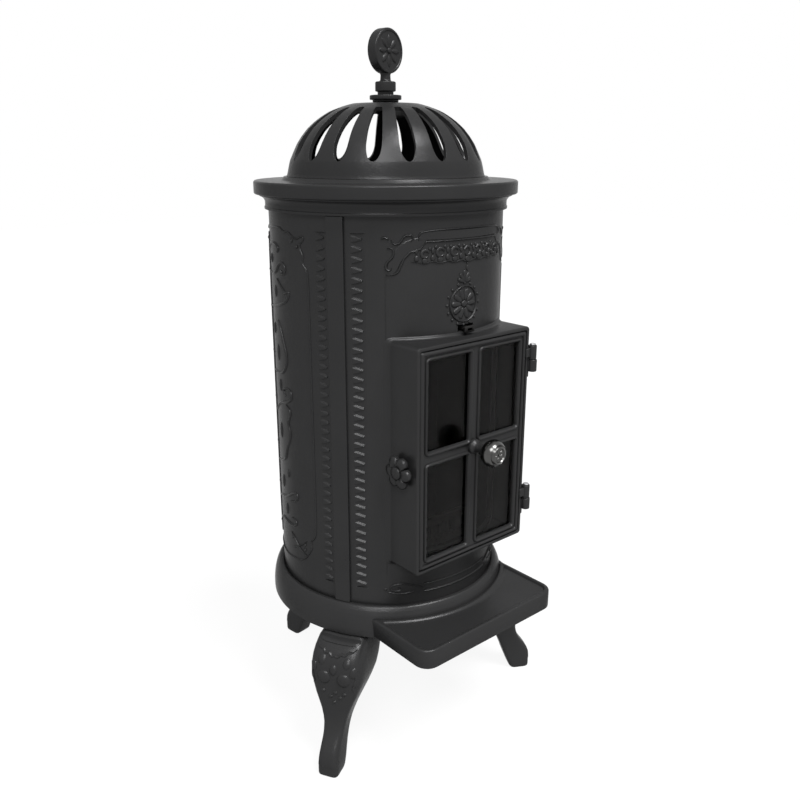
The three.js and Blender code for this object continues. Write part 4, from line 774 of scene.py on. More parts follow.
def dome_skin():
    columns = 2 * RIB_COLUMNS
    outer, inner = dome_outlines()
    points = dome_points(outer, columns) + dome_points(inner, columns)
    rows, total = len(outer), SLOTS * columns
    back = rows * total
    at = lambda row, column: row * total + column % total
    is_open = lambda row, column: (0 <= row < len(DOME_ROWS) - 1 and column % columns >= RIB_COLUMNS
                                   and SLOT_LOW <= DOME_ROWS[row] and DOME_ROWS[row + 1] <= SLOT_TOP)
    faces = []
    for row in range(rows - 1):
        for column in range(total):
            if is_open(row, column):
                continue
            a, b = at(row, column), at(row, column + 1)
            c, d = at(row + 1, column + 1), at(row + 1, column)
            faces += [[a, b, c, d], [a + back, d + back, c + back, b + back]]
            for (p, q), beside_it in (((b, c), (row, column + 1)), ((d, a), (row, column - 1)),
                                      ((a, b), (row - 1, column)), ((c, d), (row + 1, column))):
                if is_open(*beside_it):
                    faces.append([p, p + back, q + back, q])
    for column in range(total):
        for row in (0, rows - 1):
            a, b = at(row, column), at(row, column + 1)
            faces.append([a, a + back, b + back, b])
    return only_used(points, faces)


dome = piece("openwork_dome", *dome_skin(), body="crown", sharp=50, stands_for=["dome"])
soften(dome, 0.7, 2, 50)
print("dome with", SLOTS, "slots,", len(dome.data.polygons), "faces")

# %% [markdown]
# The finial is turned: a boss on the crown, a collar with a groove under it, a short neck, and a
# thick round medallion that stands on edge. Both faces of the medallion carry a plain flower.

# %% Finial
CROWN_TOP = FOOT + DOME_TALL + 1
boss_low, boss_top = low("finial_boss")[2], high("finial_boss")[2]
turned("finial_boss_turned", rounded([
    (CROWN_HOLE, boss_low), (18.4, boss_low), (18.9, boss_low + 1), (18.9, boss_top - 6.4),
    (23.2, boss_top - 6), (23.2, boss_top - 0.8), (22.4, boss_top), (CROWN_HOLE, boss_top)], 0.7, 2),
    64, body="crown", stands_for=["finial_boss"])
stem_low, collar_top = boss_top + GAP, boss_top + 18.5
neck_top = low("finial_medallion")[2] - GAP
turned("finial_neck", [(0, CROWN_TOP - 10), (4, CROWN_TOP - 10), (4, stem_low), *rounded([
    (11.6, stem_low), (11.6, stem_low + 4.4), (15, stem_low + 5.2), (15, collar_top - 1), (14, collar_top),
    (9, collar_top + 0.4), (7.6, collar_top + 2.4), (7.2, neck_top - 3),
    (8.2, neck_top)], 0.8, 2, closed=False), (0, neck_top)], 64, body="crown", stands_for=["finial_stem"])

DISC_R, DISC_T = 30.5, 16.4  # radius and thickness
disc_middle = high("finial_medallion")[2] - DISC_R
points, faces = spin([(0, -DISC_T / 2 + 1), (DISC_R - 4.4, -DISC_T / 2 + 1), *rounded([
    (DISC_R - 3.6, -DISC_T / 2), (DISC_R - 1.2, -DISC_T / 2), (DISC_R, -DISC_T / 2 + 1.6),
    (DISC_R, DISC_T / 2 - 1.6), (DISC_R - 1.2, DISC_T / 2), (DISC_R - 3.6, DISC_T / 2)],
    0.9, 3, closed=False), (DISC_R - 4.4, DISC_T / 2 - 1), (0, DISC_T / 2 - 1)], 72)
YAW = math.radians(10.5)  # how far the disc is turned out of the door's plane


def stand_up(point):
    """From lying flat on the axis to standing on edge on the neck."""
    x, y, z = point[0], point[2], -point[1]
    return (x * math.cos(YAW) - y * math.sin(YAW), x * math.sin(YAW) + y * math.cos(YAW), z + disc_middle)


piece("finial_disc", [stand_up(point) for point in points], faces, body="crown",
      stands_for=["finial_medallion"])


def flat_petals(size, petals, rise):
    """A flower that lies flat: low arched petals round a domed cap."""
    parts = []
    for k in range(petals):
        turn = 2 * math.pi * k / petals
        rings = []
        for along, wide, up in ((0.2, 0.04, 0), (0.4, 0.13, 0.8), (0.7, 0.2, 1), (0.92, 0.1, 0.5),
                                (1.0, 0.02, 0)):
            rings.append([])
            for across, lift in ((-1, -0.4), (-0.6, 0.7 * up), (0, up), (0.6, 0.7 * up), (1, -0.4)):
                x, y = along * size, across * wide * size
                rings[-1].append((x * math.cos(turn) - y * math.sin(turn),
                                  x * math.sin(turn) + y * math.cos(turn), rise * lift if lift > 0 else lift))
        parts.append(capped(rings))
    cap, sides = 0.19 * size, 16
    parts.append(capped([[(cap * math.cos(2 * math.pi * k / sides) * share,
                           cap * math.sin(2 * math.pi * k / sides) * share, z) for k in range(sides)]
                         for share, z in ((1, -0.4), (0.95, 0.6 * rise), (0.6, 1.2 * rise))]))
    return together(parts)


petal_points, petal_faces = flat_petals(22, 8, 2.0)
for word, flip in (("front", 1), ("back", -1)):
    placed = [stand_up((x, y, -flip * (DISC_T / 2 - 1 + z))) for x, y, z in petal_points]
    piece(f"finial_flower_{word}", placed, petal_faces, body="crown", sharp=60)
print("finial top at", round(disc_middle + DISC_R, 1))

# %% [markdown]
# The door housing is a box that stands out of the front plate. Its outline is a rectangle with
# slightly round corners, and every point of that outline is carried back until it meets the shell,
# so the box grows out of the curve as the casting does. A fillet runs round the joint.

# %% Door housing
def loop(x0, x1, z0, z1, radius):
    """A rectangle with round corners, with more points on its long sides than on the short ones."""
    out, corner = [], 5
    corners = ((x1 - radius, z0 + radius, -90, 4), (x1 - radius, z1 - radius, 0, 24),
               (x0 + radius, z1 - radius, 90, 4), (x0 + radius, z0 + radius, 180, 24))
    for number, (cx, cz, start, between) in enumerate(corners):
        for i in range(corner + 1):
            turn = math.radians(start + 90 * i / corner)
            out.append((cx + radius * math.cos(turn), cz + radius * math.sin(turn)))
        nx, nz, after, _ = corners[(number + 1) % 4]
        x, z = out[-1]
        turn = math.radians(after)
        nx, nz = nx + radius * math.cos(turn), nz + radius * math.sin(turn)
        out += [(x + (nx - x) * k / between, z + (nz - z) * k / between) for k in range(1, between)]
    return out


HOUSE = high("door_housing")[0]  # half of its width
FRONT = low("door_housing")[1]
SEAT = FRONT + 12.5  # where the closed door rests
ON_SHELL = BODY + 0.1


def house_ring(inset, radius, y=None, on=None, grow=0.0):
    """The housing's outline at a depth y, or carried back to the shell of radius `on`."""
    base = loop(-HOUSE + inset, HOUSE - inset, HOUSE_LOW + inset, HOUSE_TOP - inset, radius)
    return [(x, y if y is not None else -math.sqrt(on * on - x * x) - grow, z) for x, z in base]


FILLET = [(-4.8, 0, 9.8), (-4.4, 0.5, 9.4), (-2.9, 1.1, 7.9), (-1.6, 2.1, 6.6), (-0.7, 3.6, 5.7),
          (-0.2, 5.4, 5.2), (0, 7.2, 5.0)]  # inset, distance from the shell, corner radius
RIM = [(0, 2.4, 5.0), (0.3, 1.2, 5.0), (0.9, 0.4, 4.6), (1.8, 0, 4.0), (4.6, 0, 3.2), (5.1, 0.3, 3.0),
       (5.3, 1.0, 3.0)]  # inset, distance behind the front, corner radius
rings = [house_ring(inset, radius, on=ON_SHELL, grow=grow) for inset, grow, radius in FILLET]
rings += [house_ring(inset, radius, FRONT + depth) for inset, depth, radius in RIM]
rings += [house_ring(5.3, 3.0, SEAT), house_ring(12.8, 2.5, SEAT), house_ring(12.8, 2.5, SEAT + 8),
          house_ring(8, 2.5, SEAT + 8), house_ring(8, 2.5, on=ON_SHELL + 0.5)]
piece("door_housing_casting", *joined(rings), stands_for=["door_housing"], sharp=50)
print("housing front at y =", round(FRONT, 1), "half width", round(HOUSE, 1))

# %% [markdown]
# The door is a flat frame with a cross. On the real casting every edge is moulded: a sloping bevel
# round the outside, and a bead and a slope round each pane. Each moulding is a closed ring of the
# same section, mitred at the corners, laid on a flat plate.

# %% Door frame
DOOR = high("door_frame")[0]
DOOR_LOW, DOOR_TOP = low("door_frame")[2], high("door_frame")[2]
DOOR_FRONT, DOOR_BACK = low("door_frame")[1], high("door_frame")[1]
CROSS = (DOOR_LOW + DOOR_TOP) / 2 + 6
STILE, BAR = 14.4, 22.0
PANES = [(x0, x1, z0, z1)
         for z0, z1 in ((DOOR_LOW + STILE, CROSS - BAR / 2), (CROSS + BAR / 2, DOOR_TOP - STILE))
         for x0, x1 in ((-DOOR + STILE, -BAR / 2), (BAR / 2, DOOR - STILE))]


def ring_rect(rect, inset, y, radius):
    x0, x1, z0, z1 = rect
    r = max(radius, 0.4)
    out, corner = [], 4
    for cx, cz, start in ((x1 - inset - r, z0 + inset + r, -90), (x1 - inset - r, z1 - inset - r, 0),
                          (x0 + inset + r, z1 - inset - r, 90), (x0 + inset + r, z0 + inset + r, 180)):
        for i in range(corner + 1):
            turn = math.radians(start + 90 * i / corner)
            out.append((cx + r * math.cos(turn), y, cz + r * math.sin(turn)))
    return out


def moulding(rect, face, back, radius):
    """A closed ring: its face as [inset, depth behind the door's front], then straight to the back."""
    section = [(inset, DOOR_FRONT + depth) for inset, depth in face]
    section = [(face[0][0], back), *section, (face[-1][0], back)]
    return joined([ring_rect(rect, inset, y, radius + max(0, -inset)) for inset, y in section])


PANE_BACK = DOOR_BACK - 5
EDGE_FACE = [(0, 3.4), (0.4, 2.6), (2.6, 0.3), (3.4, 0), (4.6, 0), (5.3, 0.5), (6.2, 1.7), (6.4, 3.2)]
PANE_FACE = [(0, 4.8), (-0.4, 3.4), (-1.6, 1.2), (-2.4, 0.4), (-3.2, 0), (-4.0, 0.2), (-4.8, 0.9),
             (-5.5, 2.2), (-5.8, 4)]
door_parts = [moulding((-DOOR, DOOR, DOOR_LOW, DOOR_TOP), EDGE_FACE, DOOR_BACK, 3.0)]
door_parts += [moulding(pane, PANE_FACE, PANE_BACK, 2.0) for pane in PANES]
print("mouldings on the door:", len(door_parts))

# %% [markdown]
# Between the mouldings lie flat bars. Where two of them cross, one is set a few hundredths of a
# millimetre deeper, so that no two faces lie in the same plane.

# %% Door bars
def flat_bar(x0, x1, z0, z1, front, back):
    corners = [(x, y, z) for x in (x0, x1) for y in (front, back) for z in (z0, z1)]
    return corners, [[0, 1, 3, 2], [4, 6, 7, 5], [0, 4, 5, 1], [2, 3, 7, 6], [0, 2, 6, 4], [1, 5, 7, 3]]


PLATE_FACE = DOOR_FRONT + 3.2
LAP = 0.4  # how far a moulding covers the edge of a bar
inner_x, inner_low, inner_top = DOOR - 6, DOOR_LOW + 6, DOOR_TOP - 6
edge_x = DOOR - STILE + LAP
foot_top, head_low = DOOR_LOW + STILE - LAP, DOOR_TOP - STILE + LAP
door_parts += [
    flat_bar(-inner_x, -edge_x, inner_low, inner_top, PLATE_FACE, DOOR_BACK - 0.02),
    flat_bar(edge_x, inner_x, inner_low, inner_top, PLATE_FACE, DOOR_BACK - 0.02),
    flat_bar(-inner_x + 1, inner_x - 1, inner_low + 0.02, foot_top, PLATE_FACE + 0.02, DOOR_BACK - 0.04),
    flat_bar(-inner_x + 1, inner_x - 1, head_low, inner_top - 0.02, PLATE_FACE + 0.02, DOOR_BACK - 0.04),
    flat_bar(-BAR / 2 + LAP, BAR / 2 - LAP, inner_low + 3, inner_top - 3, PLATE_FACE + 0.04, PANE_BACK),
    flat_bar(-inner_x + 3, inner_x - 3, CROSS - BAR / 2 + LAP, CROSS + BAR / 2 - LAP, PLATE_FACE + 0.06,
             PANE_BACK - 0.02),
]
piece("door_casting", *together(door_parts), body="door", stands_for=["door_frame"], sharp=50)
print("door", round(2 * DOOR, 1), "mm wide, cross at", round(CROSS, 1))

# %% [markdown]
# The pull is a turned and polished knob on a stem. Its face carries a ring and a small embossed
# flower, which breaks up the reflections.

# %% Knob
def turned_front(name, profile, sides, **facts):
    """Turned round a line through the middle of the cross, from a profile of [radius, y]."""
    points, faces = spin([(r, -y) for r, y in profile], sides)
    return piece(name, [(x, -z, y + CROSS) for x, y, z in points], faces, **facts)


KNOB_ROOT = high("door_knob")[1] + 6
KNOB = [(0, 0), (8, 0), (9.6, 1), (10.8, 3), (14.2, 5.2), (17.4, 8), (19.4, 11.6), (20.4, 15.5), (19.7, 19),
        (18.5, 22.6), (16.7, 25.6), (15.4, 27), (14.9, 26.4), (13.9, 26.2), (13.2, 27.2), (12.7, 28.8),
        (11.6, 30), (10.4, 30.2), (9.7, 29.4), (9.2, 28.6), (0, 28.6)]  # radius, distance from the root
FOOT_LINE = [(0, -2.8), (11, -2.8), (11, 1.8), (10.2, 2.8), (7.8, 4.6), (6.6, 8), (6.4, 14), (6.9, 12)]
KNOB_FACE = KNOB_ROOT - KNOB[-1][1]
turned_front("pull_knob", [(r, KNOB_ROOT - out) for r, out in KNOB], 64, body="door",
             stands_for=["door_knob"], slot="bright_steel", sharp=50)
points, faces = flat_petals(8.6, 6, 1.6)
piece("knob_flower", [(x, KNOB_FACE - z, y + CROSS) for x, y, z in points], faces, body="door",
      slot="bright_steel", sharp=60)
turned_front("knob_foot", [*[(r, DOOR_FRONT - out) for r, out in FOOT_LINE], (7.6, KNOB_ROOT + 0.4),
                           (0, KNOB_ROOT + 0.4)], 48, body="door", stands_for=["knob_stem"])
print("knob face at y =", round(KNOB_FACE, 1))

# %% [markdown]
# Each hinge has an ear on the housing and a lug on the door, with a pin through both knuckles. The
# castings are plump, with rounded ends, and a web ties each knuckle to its plate.

# %% Hinges
def plump_knuckle(x, y, z0, z1, radius):
    profile = rounded([(0, z0), (radius, z0), (radius, z1), (0, z1)], 1.6, 4, closed=False)
    points, faces = spin(profile, 28)
    return [(px + x, py + y, pz) for px, py, pz in points], faces


def soft_block(low_corner, high_corner, cut):
    """A block with all of its edges cut off."""
    (x0, y0, z0), (x1, y1, z1) = low_corner, high_corner
    rings = []
    for z, inset in ((z0, cut), (z0 + cut, 0), (z1 - cut, 0), (z1, cut)):
        rings.append([(x0 + inset, y0 + inset + cut, z), (x0 + inset + cut, y0 + inset, z),
                      (x1 - inset - cut, y0 + inset, z), (x1 - inset, y0 + inset + cut, z),
                      (x1 - inset, y1 - inset - cut, z), (x1 - inset - cut, y1 - inset, z),
                      (x0 + inset + cut, y1 - inset, z), (x0 + inset, y1 - inset - cut, z)])
    return capped(rings)


HINGE_X, HINGE_Y = HOUSE + 6.8, FRONT - 1  # the hinge line
PLAY = 0.15  # half of the air between ear and lug
for word in ("upper", "lower"):
    joint = low(f"door_lug_{word}")[2] - PLAY
    ear_low, ear_top, ear_root = joint - 18.7, joint - 0.4, HOUSE - 0.2
    ear = together([
        plump_knuckle(HINGE_X + 0.7, HINGE_Y, ear_low, joint - PLAY, 7.0),
        soft_block((ear_root, HINGE_Y + 0.5, ear_low + 0.3), (HINGE_X + 3.6, HINGE_Y + 10.8, ear_top), 1.4),
        soft_block((ear_root, HINGE_Y + 2.4, ear_low - 9), (HOUSE + 3.6, HINGE_Y + 23.6, ear_top), 1.0)])
    piece(f"hinge_ear_{word}_casting", *ear, stands_for=[f"hinge_ear_{word}"], sharp=45)
    lug = together([
        plump_knuckle(HINGE_X, HINGE_Y, joint + PLAY, joint + 22, 6.3),
        soft_block((DOOR - 2, DOOR_FRONT - 2.2, joint + 4),
                   (HINGE_X - 1.5, DOOR_FRONT + 1.8, joint + 18), 1.0)])
    piece(f"door_lug_{word}_casting", *lug, body="door", stands_for=[f"door_lug_{word}"], sharp=45)
    pin = plump_knuckle(HINGE_X, HINGE_Y, joint + 22.1, joint + 24.2, 4.6)
    piece(f"hinge_pin_{word}_head", *pin, stands_for=[f"hinge_pin_{word}"], slot="fastener_steel", sharp=45)
print("hinge line at x =", round(HINGE_X, 1), "y =", round(HINGE_Y, 1))

# %% [markdown]
# The latch is turned by hand with a lobed cast knob on the left of the housing. Its lobes are
# rounded like the petals of a flower, with a raised round cap in the middle.

# %% Latch knob
LATCH_X = high("latch_knob")[0]
LATCH_Y, LATCH_Z = ((low("latch_knob")[axis] + high("latch_knob")[axis]) / 2 for axis in (1, 2))
LOBES = 6


def lobed(radius, depth, out):
    """A ring of lobes whose hollows are as deep as depth, at a distance out from the housing."""
    ring, sides = [], 96
    for k in range(sides):
        turn = 2 * math.pi * k / sides
        r = radius - depth * (1 - abs(math.cos(LOBES * turn / 2)) ** 0.5)
        ring.append((LATCH_X - out, LATCH_Y + r * math.cos(turn), LATCH_Z + r * math.sin(turn)))
    return ring


NECK = [(8, 0, 0.0), (9.5, 0, 0.4), (9.5, 0, 5.6), (12, 0, 6.2)]
GRIP = [(17, 6.0, 4.2), (23.4, 9.6, 4.8), (24.8, 10.6, 6.4), (25.0, 10.8, 9.5), (24.6, 10.6, 11.6),
        (23.2, 9.8, 13.0), (17.5, 6.4, 14.6), (12.5, 2.2, 14.2), (10.5, 0.0, 13.0)]
CAP = [(9.6, 0, 12.8), (9.4, 0, 14.6), (8.4, 0, 16.0), (5.5, 0, 16.9), (2.0, 0, 17.0)]
latch_parts = [capped([lobed(*ring) for ring in part]) for part in (NECK, GRIP, CAP)]
piece("latch_rosette", *together(latch_parts), body="latch", stands_for=["latch_knob"], sharp=40)
print("latch knob with", LOBES, "lobes")

# %% [markdown]
# The air lever slides in a slot just above the housing: a short black tab with a grip across its
# end.

# %% Air lever
lever_low, lever_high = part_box("air_slide")
lever_z = (lever_low.z + lever_high.z) / 2 / MM
tab_front, plate_y = lever_low.y / MM, lever_high.y / MM
TAB_HALF, GRIP_HALF, PLATE_HALF = 5.6, 9.5, 30
lever = together([
    soft_block((-PLATE_HALF, plate_y - 3, lever_z - 9), (PLATE_HALF, plate_y, lever_z + 9), 0.6),
    soft_block((-TAB_HALF, tab_front, lever_z - 2.4), (TAB_HALF, plate_y - 2, lever_z + 2.4), 0.8),
    soft_block((-GRIP_HALF, tab_front, lever_z - 4.6), (GRIP_HALF, tab_front + 4.4, lever_z + 4.6), 1.2),
])
piece("air_lever", *lever, body="slide", stands_for=["air_slide"], slot="fire_iron", sharp=45)
print("air lever grip", 2 * GRIP_HALF, "mm wide")

# %% [markdown]
# The hearth plate catches embers. It is a thick plate with round corners and a raised rim, open at
# the back, where it fits the curve of the base ring.

# %% Line round the hearth plate
PLATE_X, PLATE_FRONT = high("hearth_plate")[0], -low("hearth_plate")[1]
PLATE_LOW, PLATE_TOP = low("hearth_plate")[2], high("hearth_plate")[2]


PLATE_CORNER, RING_AIR, ARC = 22, 0.5, 12  # corner radius, air at the base ring, steps in a corner


def interpolate(profile, height):
    for (r0, z0), (r1, z1) in zip(profile, profile[1:]):
        if z0 <= height <= z1 and z1 > z0:
            return r0 + (r1 - r0) * (height - z0) / (z1 - z0)
    return profile[0][0]


def plate_line(inset, height):
    """A U-shaped line round the plate's free edges, closed along the ring."""
    r = max(PLATE_CORNER - inset, 1.5)
    x1, y1 = PLATE_X - inset, -PLATE_FRONT + inset
    ring_r = interpolate(FLARE, height) + RING_AIR + inset
    front = []
    for cx, start in ((x1 - r, 0), (-x1 + r, -90)):
        for i in range(ARC + 1):
            turn = math.radians(start - 90 * i / ARC)
            front.append((cx + r * math.cos(turn), y1 + r + r * math.sin(turn)))
    back_y = -math.sqrt(ring_r ** 2 - x1 ** 2)
    line = [(x1, back_y + (y1 + r - back_y) * t) for t in (0, 0.25, 0.5, 0.75)] + front
    line += [(-x1, back_y + (y1 + r - back_y) * t) for t in (0.75, 0.5, 0.25, 0)]
    start = math.degrees(math.asin(-x1 / ring_r))
    line += [(ring_r * math.sin(math.radians(a)), -ring_r * math.cos(math.radians(a)))
             for a in stations([start, -start], 3)[1:-1]]
    return [(x, y, height) for x, y in line]


print("corner radius of the hearth plate:", PLATE_CORNER)

# %% [markdown]
# The plate is a stack of such lines, drawn in towards the top, over the rim and down to the flat.
# Every line needs the same number of points, so each is walked in even steps, first along the free
# edges and then along the ring.

# %% Hearth plate
def resampled(line, count):
    lengths = [0]
    for p, q in zip(line, line[1:]):
        lengths.append(lengths[-1] + math.dist(p, q))
    out = []
    for i in range(count):
        target = lengths[-1] * i / (count - 1)
        k = next(j for j in range(1, len(lengths)) if lengths[j] >= target - 1e-9)
        t = (target - lengths[k - 1]) / max(lengths[k] - lengths[k - 1], 1e-9)
        out.append(tuple(a + (b - a) * t for a, b in zip(line[k - 1], line[k])))
    return out


def plate_ring(inset, height):
    """The line as two runs of evenly spaced points: the free edges, then the edge at the ring."""
    full, free = plate_line(inset, height), 2 * (4 + ARC + 1)
    return resampled(full[:free], 100)[:-1] + resampled(full[free - 1:] + full[:1], 45)[:-1]


SIDE = [(1.2, 0), (0.3, 0.5), (0, 1.6)]  # inset, height over the underside
RIM_LINE = [(0, 3), (0.5, 1.5), (1.5, 0.4), (3, 0), (5.4, 0), (6.6, 0.5), (7.6, 1.8), (8.6, 3), (13, 3)]
hearth_rings = [plate_ring(inset, PLATE_LOW + up) for inset, up in SIDE]
hearth_rings += [plate_ring(inset, PLATE_TOP - down) for inset, down in RIM_LINE]
piece("hearth_plate_casting", *capped(hearth_rings), stands_for=["hearth_plate"], sharp=45)
print("hearth plate", round(2 * PLATE_X, 1), "mm wide, top at", round(PLATE_TOP, 1))

# %% [markdown]
# A cabriole leg swells to a knee, draws in to a thin ankle and turns out into a small block foot.
# Each section is a rounded square, given by its share of the height, how far it lies inside and
# outside the leg's middle line, and its width. The knee is then dressed with a scalloped collar of
# leaves, a shell of scales and a few beads that run down the shin, all carved in low relief.

# %% Leg outline
LEG_STATIONS = [  # share of the height, inside, outside, width as a share of the knee's
    (1.0, -48, 14, 0.78), (0.985, -53, 17, 0.80), (0.972, -56, 25, 0.85), (0.957, -58, 30, 0.89),
    (0.94, -59, 32, 0.91), (0.91, -60, 35.5, 0.94), (0.86, -60, 38, 0.97), (0.81, -60, 37, 0.985),
    (0.76, -59, 34, 0.985), (0.70, -57, 29.5, 0.96), (0.64, -54, 24.5, 0.88), (0.58, -50, 20, 0.78),
    (0.52, -46, 15, 0.66), (0.46, -42, 10, 0.545), (0.4, -38.5, 6, 0.455), (0.36, -36.5, 4.4, 0.41),
    (0.33, -35.5, 4, 0.39), (0.295, -35, 4.6, 0.37), (0.26, -35, 6.4, 0.36), (0.225, -35, 9.0, 0.36),
    (0.195, -35, 10.8, 0.36), (0.17, -35.5, 11.6, 0.365), (0.14, -35.5, 11.4, 0.37),
    (0.105, -35.5, 9.2, 0.38), (0.085, -35.5, 7.6, 0.385), (0.076, -35.5, 6.2, 0.385),
    (0.05, -35.5, 4.0, 0.385), (0.02, -35.5, 1.5, 0.38), (0.006, -34, -0.4, 0.37), (0.0, -32, -2.6, 0.35)]
KNEE, BOLT_CIRCLE, REACH = 87.0, 176.0, 258.6  # knee width, and where the middle line starts and ends
SQUARE, SQUARE_BACK = 0.4, 0.3  # the smaller, the squarer
LEG_TALL = LEG_TOP - GAP
SHARE, KNEE_HALF = 211, 40  # millimetres in a whole share of the height, and across half a knee


def leg_section(reach, share, inner, outer, width):
    line = reach + share * (BOLT_CIRCLE - reach)
    middle, depth, half_width = line + (inner + outer) / 2, (outer - inner) / 2, width * KNEE / 2
    ring, sides = [], 32
    for k in range(sides):
        turn = (k + 0.5) / sides * 2 * math.pi
        c, s = math.cos(turn), math.sin(turn)
        squareness = SQUARE if c > 0 else SQUARE_BACK
        bend = lambda value: math.copysign(abs(value) ** squareness, value)
        ring.append((half_width * bend(s), -(middle + depth * bend(c)), share * LEG_TALL))
    return ring


def leg_front(reach, share, across):
    """The point on the leg's front face at a share of its height, and across from -1 to 1."""
    for (s0, i0, o0, w0), (s1, i1, o1, w1) in zip(LEG_STATIONS, LEG_STATIONS[1:]):
        if s1 <= share <= s0:
            t = (s0 - share) / (s0 - s1)
            inner, outer, width = (a + (b - a) * t for a, b in ((i0, i1), (o0, o1), (w0, w1)))
            line = reach + share * (BOLT_CIRCLE - reach)
            s = min(abs(across), 0.999) ** (1 / SQUARE)
            c = math.sqrt(max(0.0, 1 - s * s)) ** SQUARE
            y = line + (inner + outer) / 2 + (outer - inner) / 2 * c
            return (across * width * KNEE / 2, -y, share * LEG_TALL)


print("leg sections:", len(LEG_STATIONS), "height", round(LEG_TALL, 1))

# %% [markdown]
# The carving has to follow the leg's swelling front. Every point of a scale or of a raised line is
# given by its share of the leg's height and its place across, and `leg_front` finds where that lies
# on the surface.

# %% Carving on the knee
def leg_bump(reach, share, across, wide, tall, rise):
    """A low dome on the leg's front face."""
    points, sides = [], 14
    for size, up in ((1, -0.6), (0.93, 0.3), (0.72, 0.68), (0.4, 0.93)):
        for k in range(sides):
            turn = 2 * math.pi * k / sides
            x, y, z = leg_front(reach, share + tall * size * math.sin(turn),
                                across + wide * size * math.cos(turn))
            points.append((x, y - (up * rise if up > 0 else up), z))
    x, y, z = leg_front(reach, share, across)
    return points + [(x, y - rise, z)], dome_faces(4, sides)


def leg_ridge(reach, line, width, rise):
    """A raised line over the leg's front face, through [share, across] points."""
    line = smooth_line(line)
    rings, last = [], len(line) - 1
    for i, (share, across) in enumerate(line):
        (s0, a0), (s1, a1) = line[max(i - 1, 0)], line[min(i + 1, last)]
        ds, da = (s1 - s0) * SHARE, (a1 - a0) * KNEE_HALF
        length = math.hypot(ds, da) or 1
        t = i / last
        edge = min(1, 0.4 + 2.4 * t, 0.4 + 2.4 * (1 - t))
        rings.append([])
        for side, up in ((-1, -0.5), (-0.6, 0.7 * rise), (0, rise), (0.6, 0.7 * rise), (1, -0.5)):
            shift = side * width / 2 * edge
            x, y, z = leg_front(reach, share + shift * da / length / SHARE,
                                across - shift * ds / length / KNEE_HALF)
            rings[-1].append((x, y - up, z))
    return capped(rings)


LIP = [(0.972, -0.88), (0.968, 0), (0.972, 0.88)]
COLLAR = [(0.945, -0.8), (0.925, -0.66), (0.93, -0.52), (0.905, -0.4), (0.915, -0.26), (0.89, -0.12),
          (0.9, 0), (0.89, 0.12), (0.915, 0.26), (0.905, 0.4), (0.93, 0.52), (0.925, 0.66), (0.945, 0.8)]
SHELL_EDGE = [(0.815, 0.9), (0.77, 0.84), (0.72, 0.88), (0.69, 0.76), (0.665, 0.84)]
SCALES = [  # share of the height, places across, width, height and rise of each scale or bead
    (0.86, (-0.46, 0.5), 0.15, 0.036, 1.8), (0.80, (-0.78, 0, 0.76), 0.14, 0.04, 2.0),
    (0.735, (-0.36, 0.4), 0.26, 0.052, 3.0), (0.72, (-0.86, 0.86), 0.1, 0.03, 1.6),
    (0.625, (-0.44, 0.1, 0.5), 0.11, 0.014, 1.6), (0.59, (-0.1, 0.34), 0.11, 0.013, 1.5),
    (0.545, (0.06,), 0.12, 0.013, 1.5)]


def leg_parts(reach):
    parts = [capped([leg_section(reach, *station) for station in LEG_STATIONS])]
    parts += [leg_ridge(reach, LIP, 5.2, 3.6), leg_ridge(reach, COLLAR, 3.4, 2.4)]
    for share, places, wide, tall, rise in SCALES:
        parts += [leg_bump(reach, share, across, wide, tall, rise) for across in places]
    for side in (-1, 1):
        parts.append(leg_ridge(reach, [(share, across * side) for share, across in SHELL_EDGE], 3.4, 1.8))
    return together(parts)


for word, angle, reach in (("front_left", -60.6, REACH + 3.4), ("front_right", 60.6, REACH + 3.4),
                           ("rear", -171, REACH + 1.4)):
    points, faces = leg_parts(reach)
    turn = Matrix.Rotation(math.radians(angle), 3, "Z")
    piece(f"leg_{word}_casting", [tuple(turn @ Vector(p)) for p in points], faces,
          stands_for=[f"leg_{word}"], sharp=45)
print("legs at -60.6, 60.6 and -171 degrees")

# %% [markdown]
# At the back a short round collar takes the stove pipe. Its flange is bent to the shell and held by
# two bolts, which are working parts and need no skin.

# %% Flue collar
FLUE_R, FLUE_END = 61.0, high("flue_collar")[1]
FLUE_BORE = FLUE_R - 5


def round_ring(radius, y=None, on=None):
    """A ring at a depth y, or bent to lie on the shell of radius `on`."""
    out, sides = [], 64
    for k in range(sides):
        turn = 2 * math.pi * k / sides
        x = radius * math.cos(turn)
        out.append((x, y if y is not None else math.sqrt(on * on - x * x), FLUE_Z + radius * math.sin(turn)))
    return out


FLUE_LINE = [(77, 182.6), (76.2, 183.7), (75, 184), (64.5, 184), (62.2, 185), (FLUE_R, 187.5),
             (FLUE_R, FLUE_END - 1), (FLUE_R - 1, FLUE_END), (FLUE_BORE + 1, FLUE_END),
             (FLUE_BORE, FLUE_END - 1), (FLUE_BORE, 150)]  # radius, distance from the axis
piece("pipe_collar", *joined([round_ring(76.2, on=BODY + 0.4), round_ring(77, on=BODY + 1.4),
                              *[round_ring(radius, y=y) for radius, y in FLUE_LINE]]),
      stands_for=["flue_collar"], sharp=50)
print("flue", 2 * FLUE_R, "mm across, ends at y =", round(FLUE_END, 1))

# %% [markdown]
# Now the finishes. All the castings share one look: satin black stove paint over sand-cast iron.
# The paint is thin, so the grain of the sand shows through as a fine unevenness, and handling and
# heat leave faint cloudy patches. A small node group works out these two effects once, from the
# surface position, and each material feeds them into its own shader.

# %% Shared cast-surface effect
PIT_SCALE, PIT_SHARE, BUMP_METRES = 210.0, 0.9, 0.0004


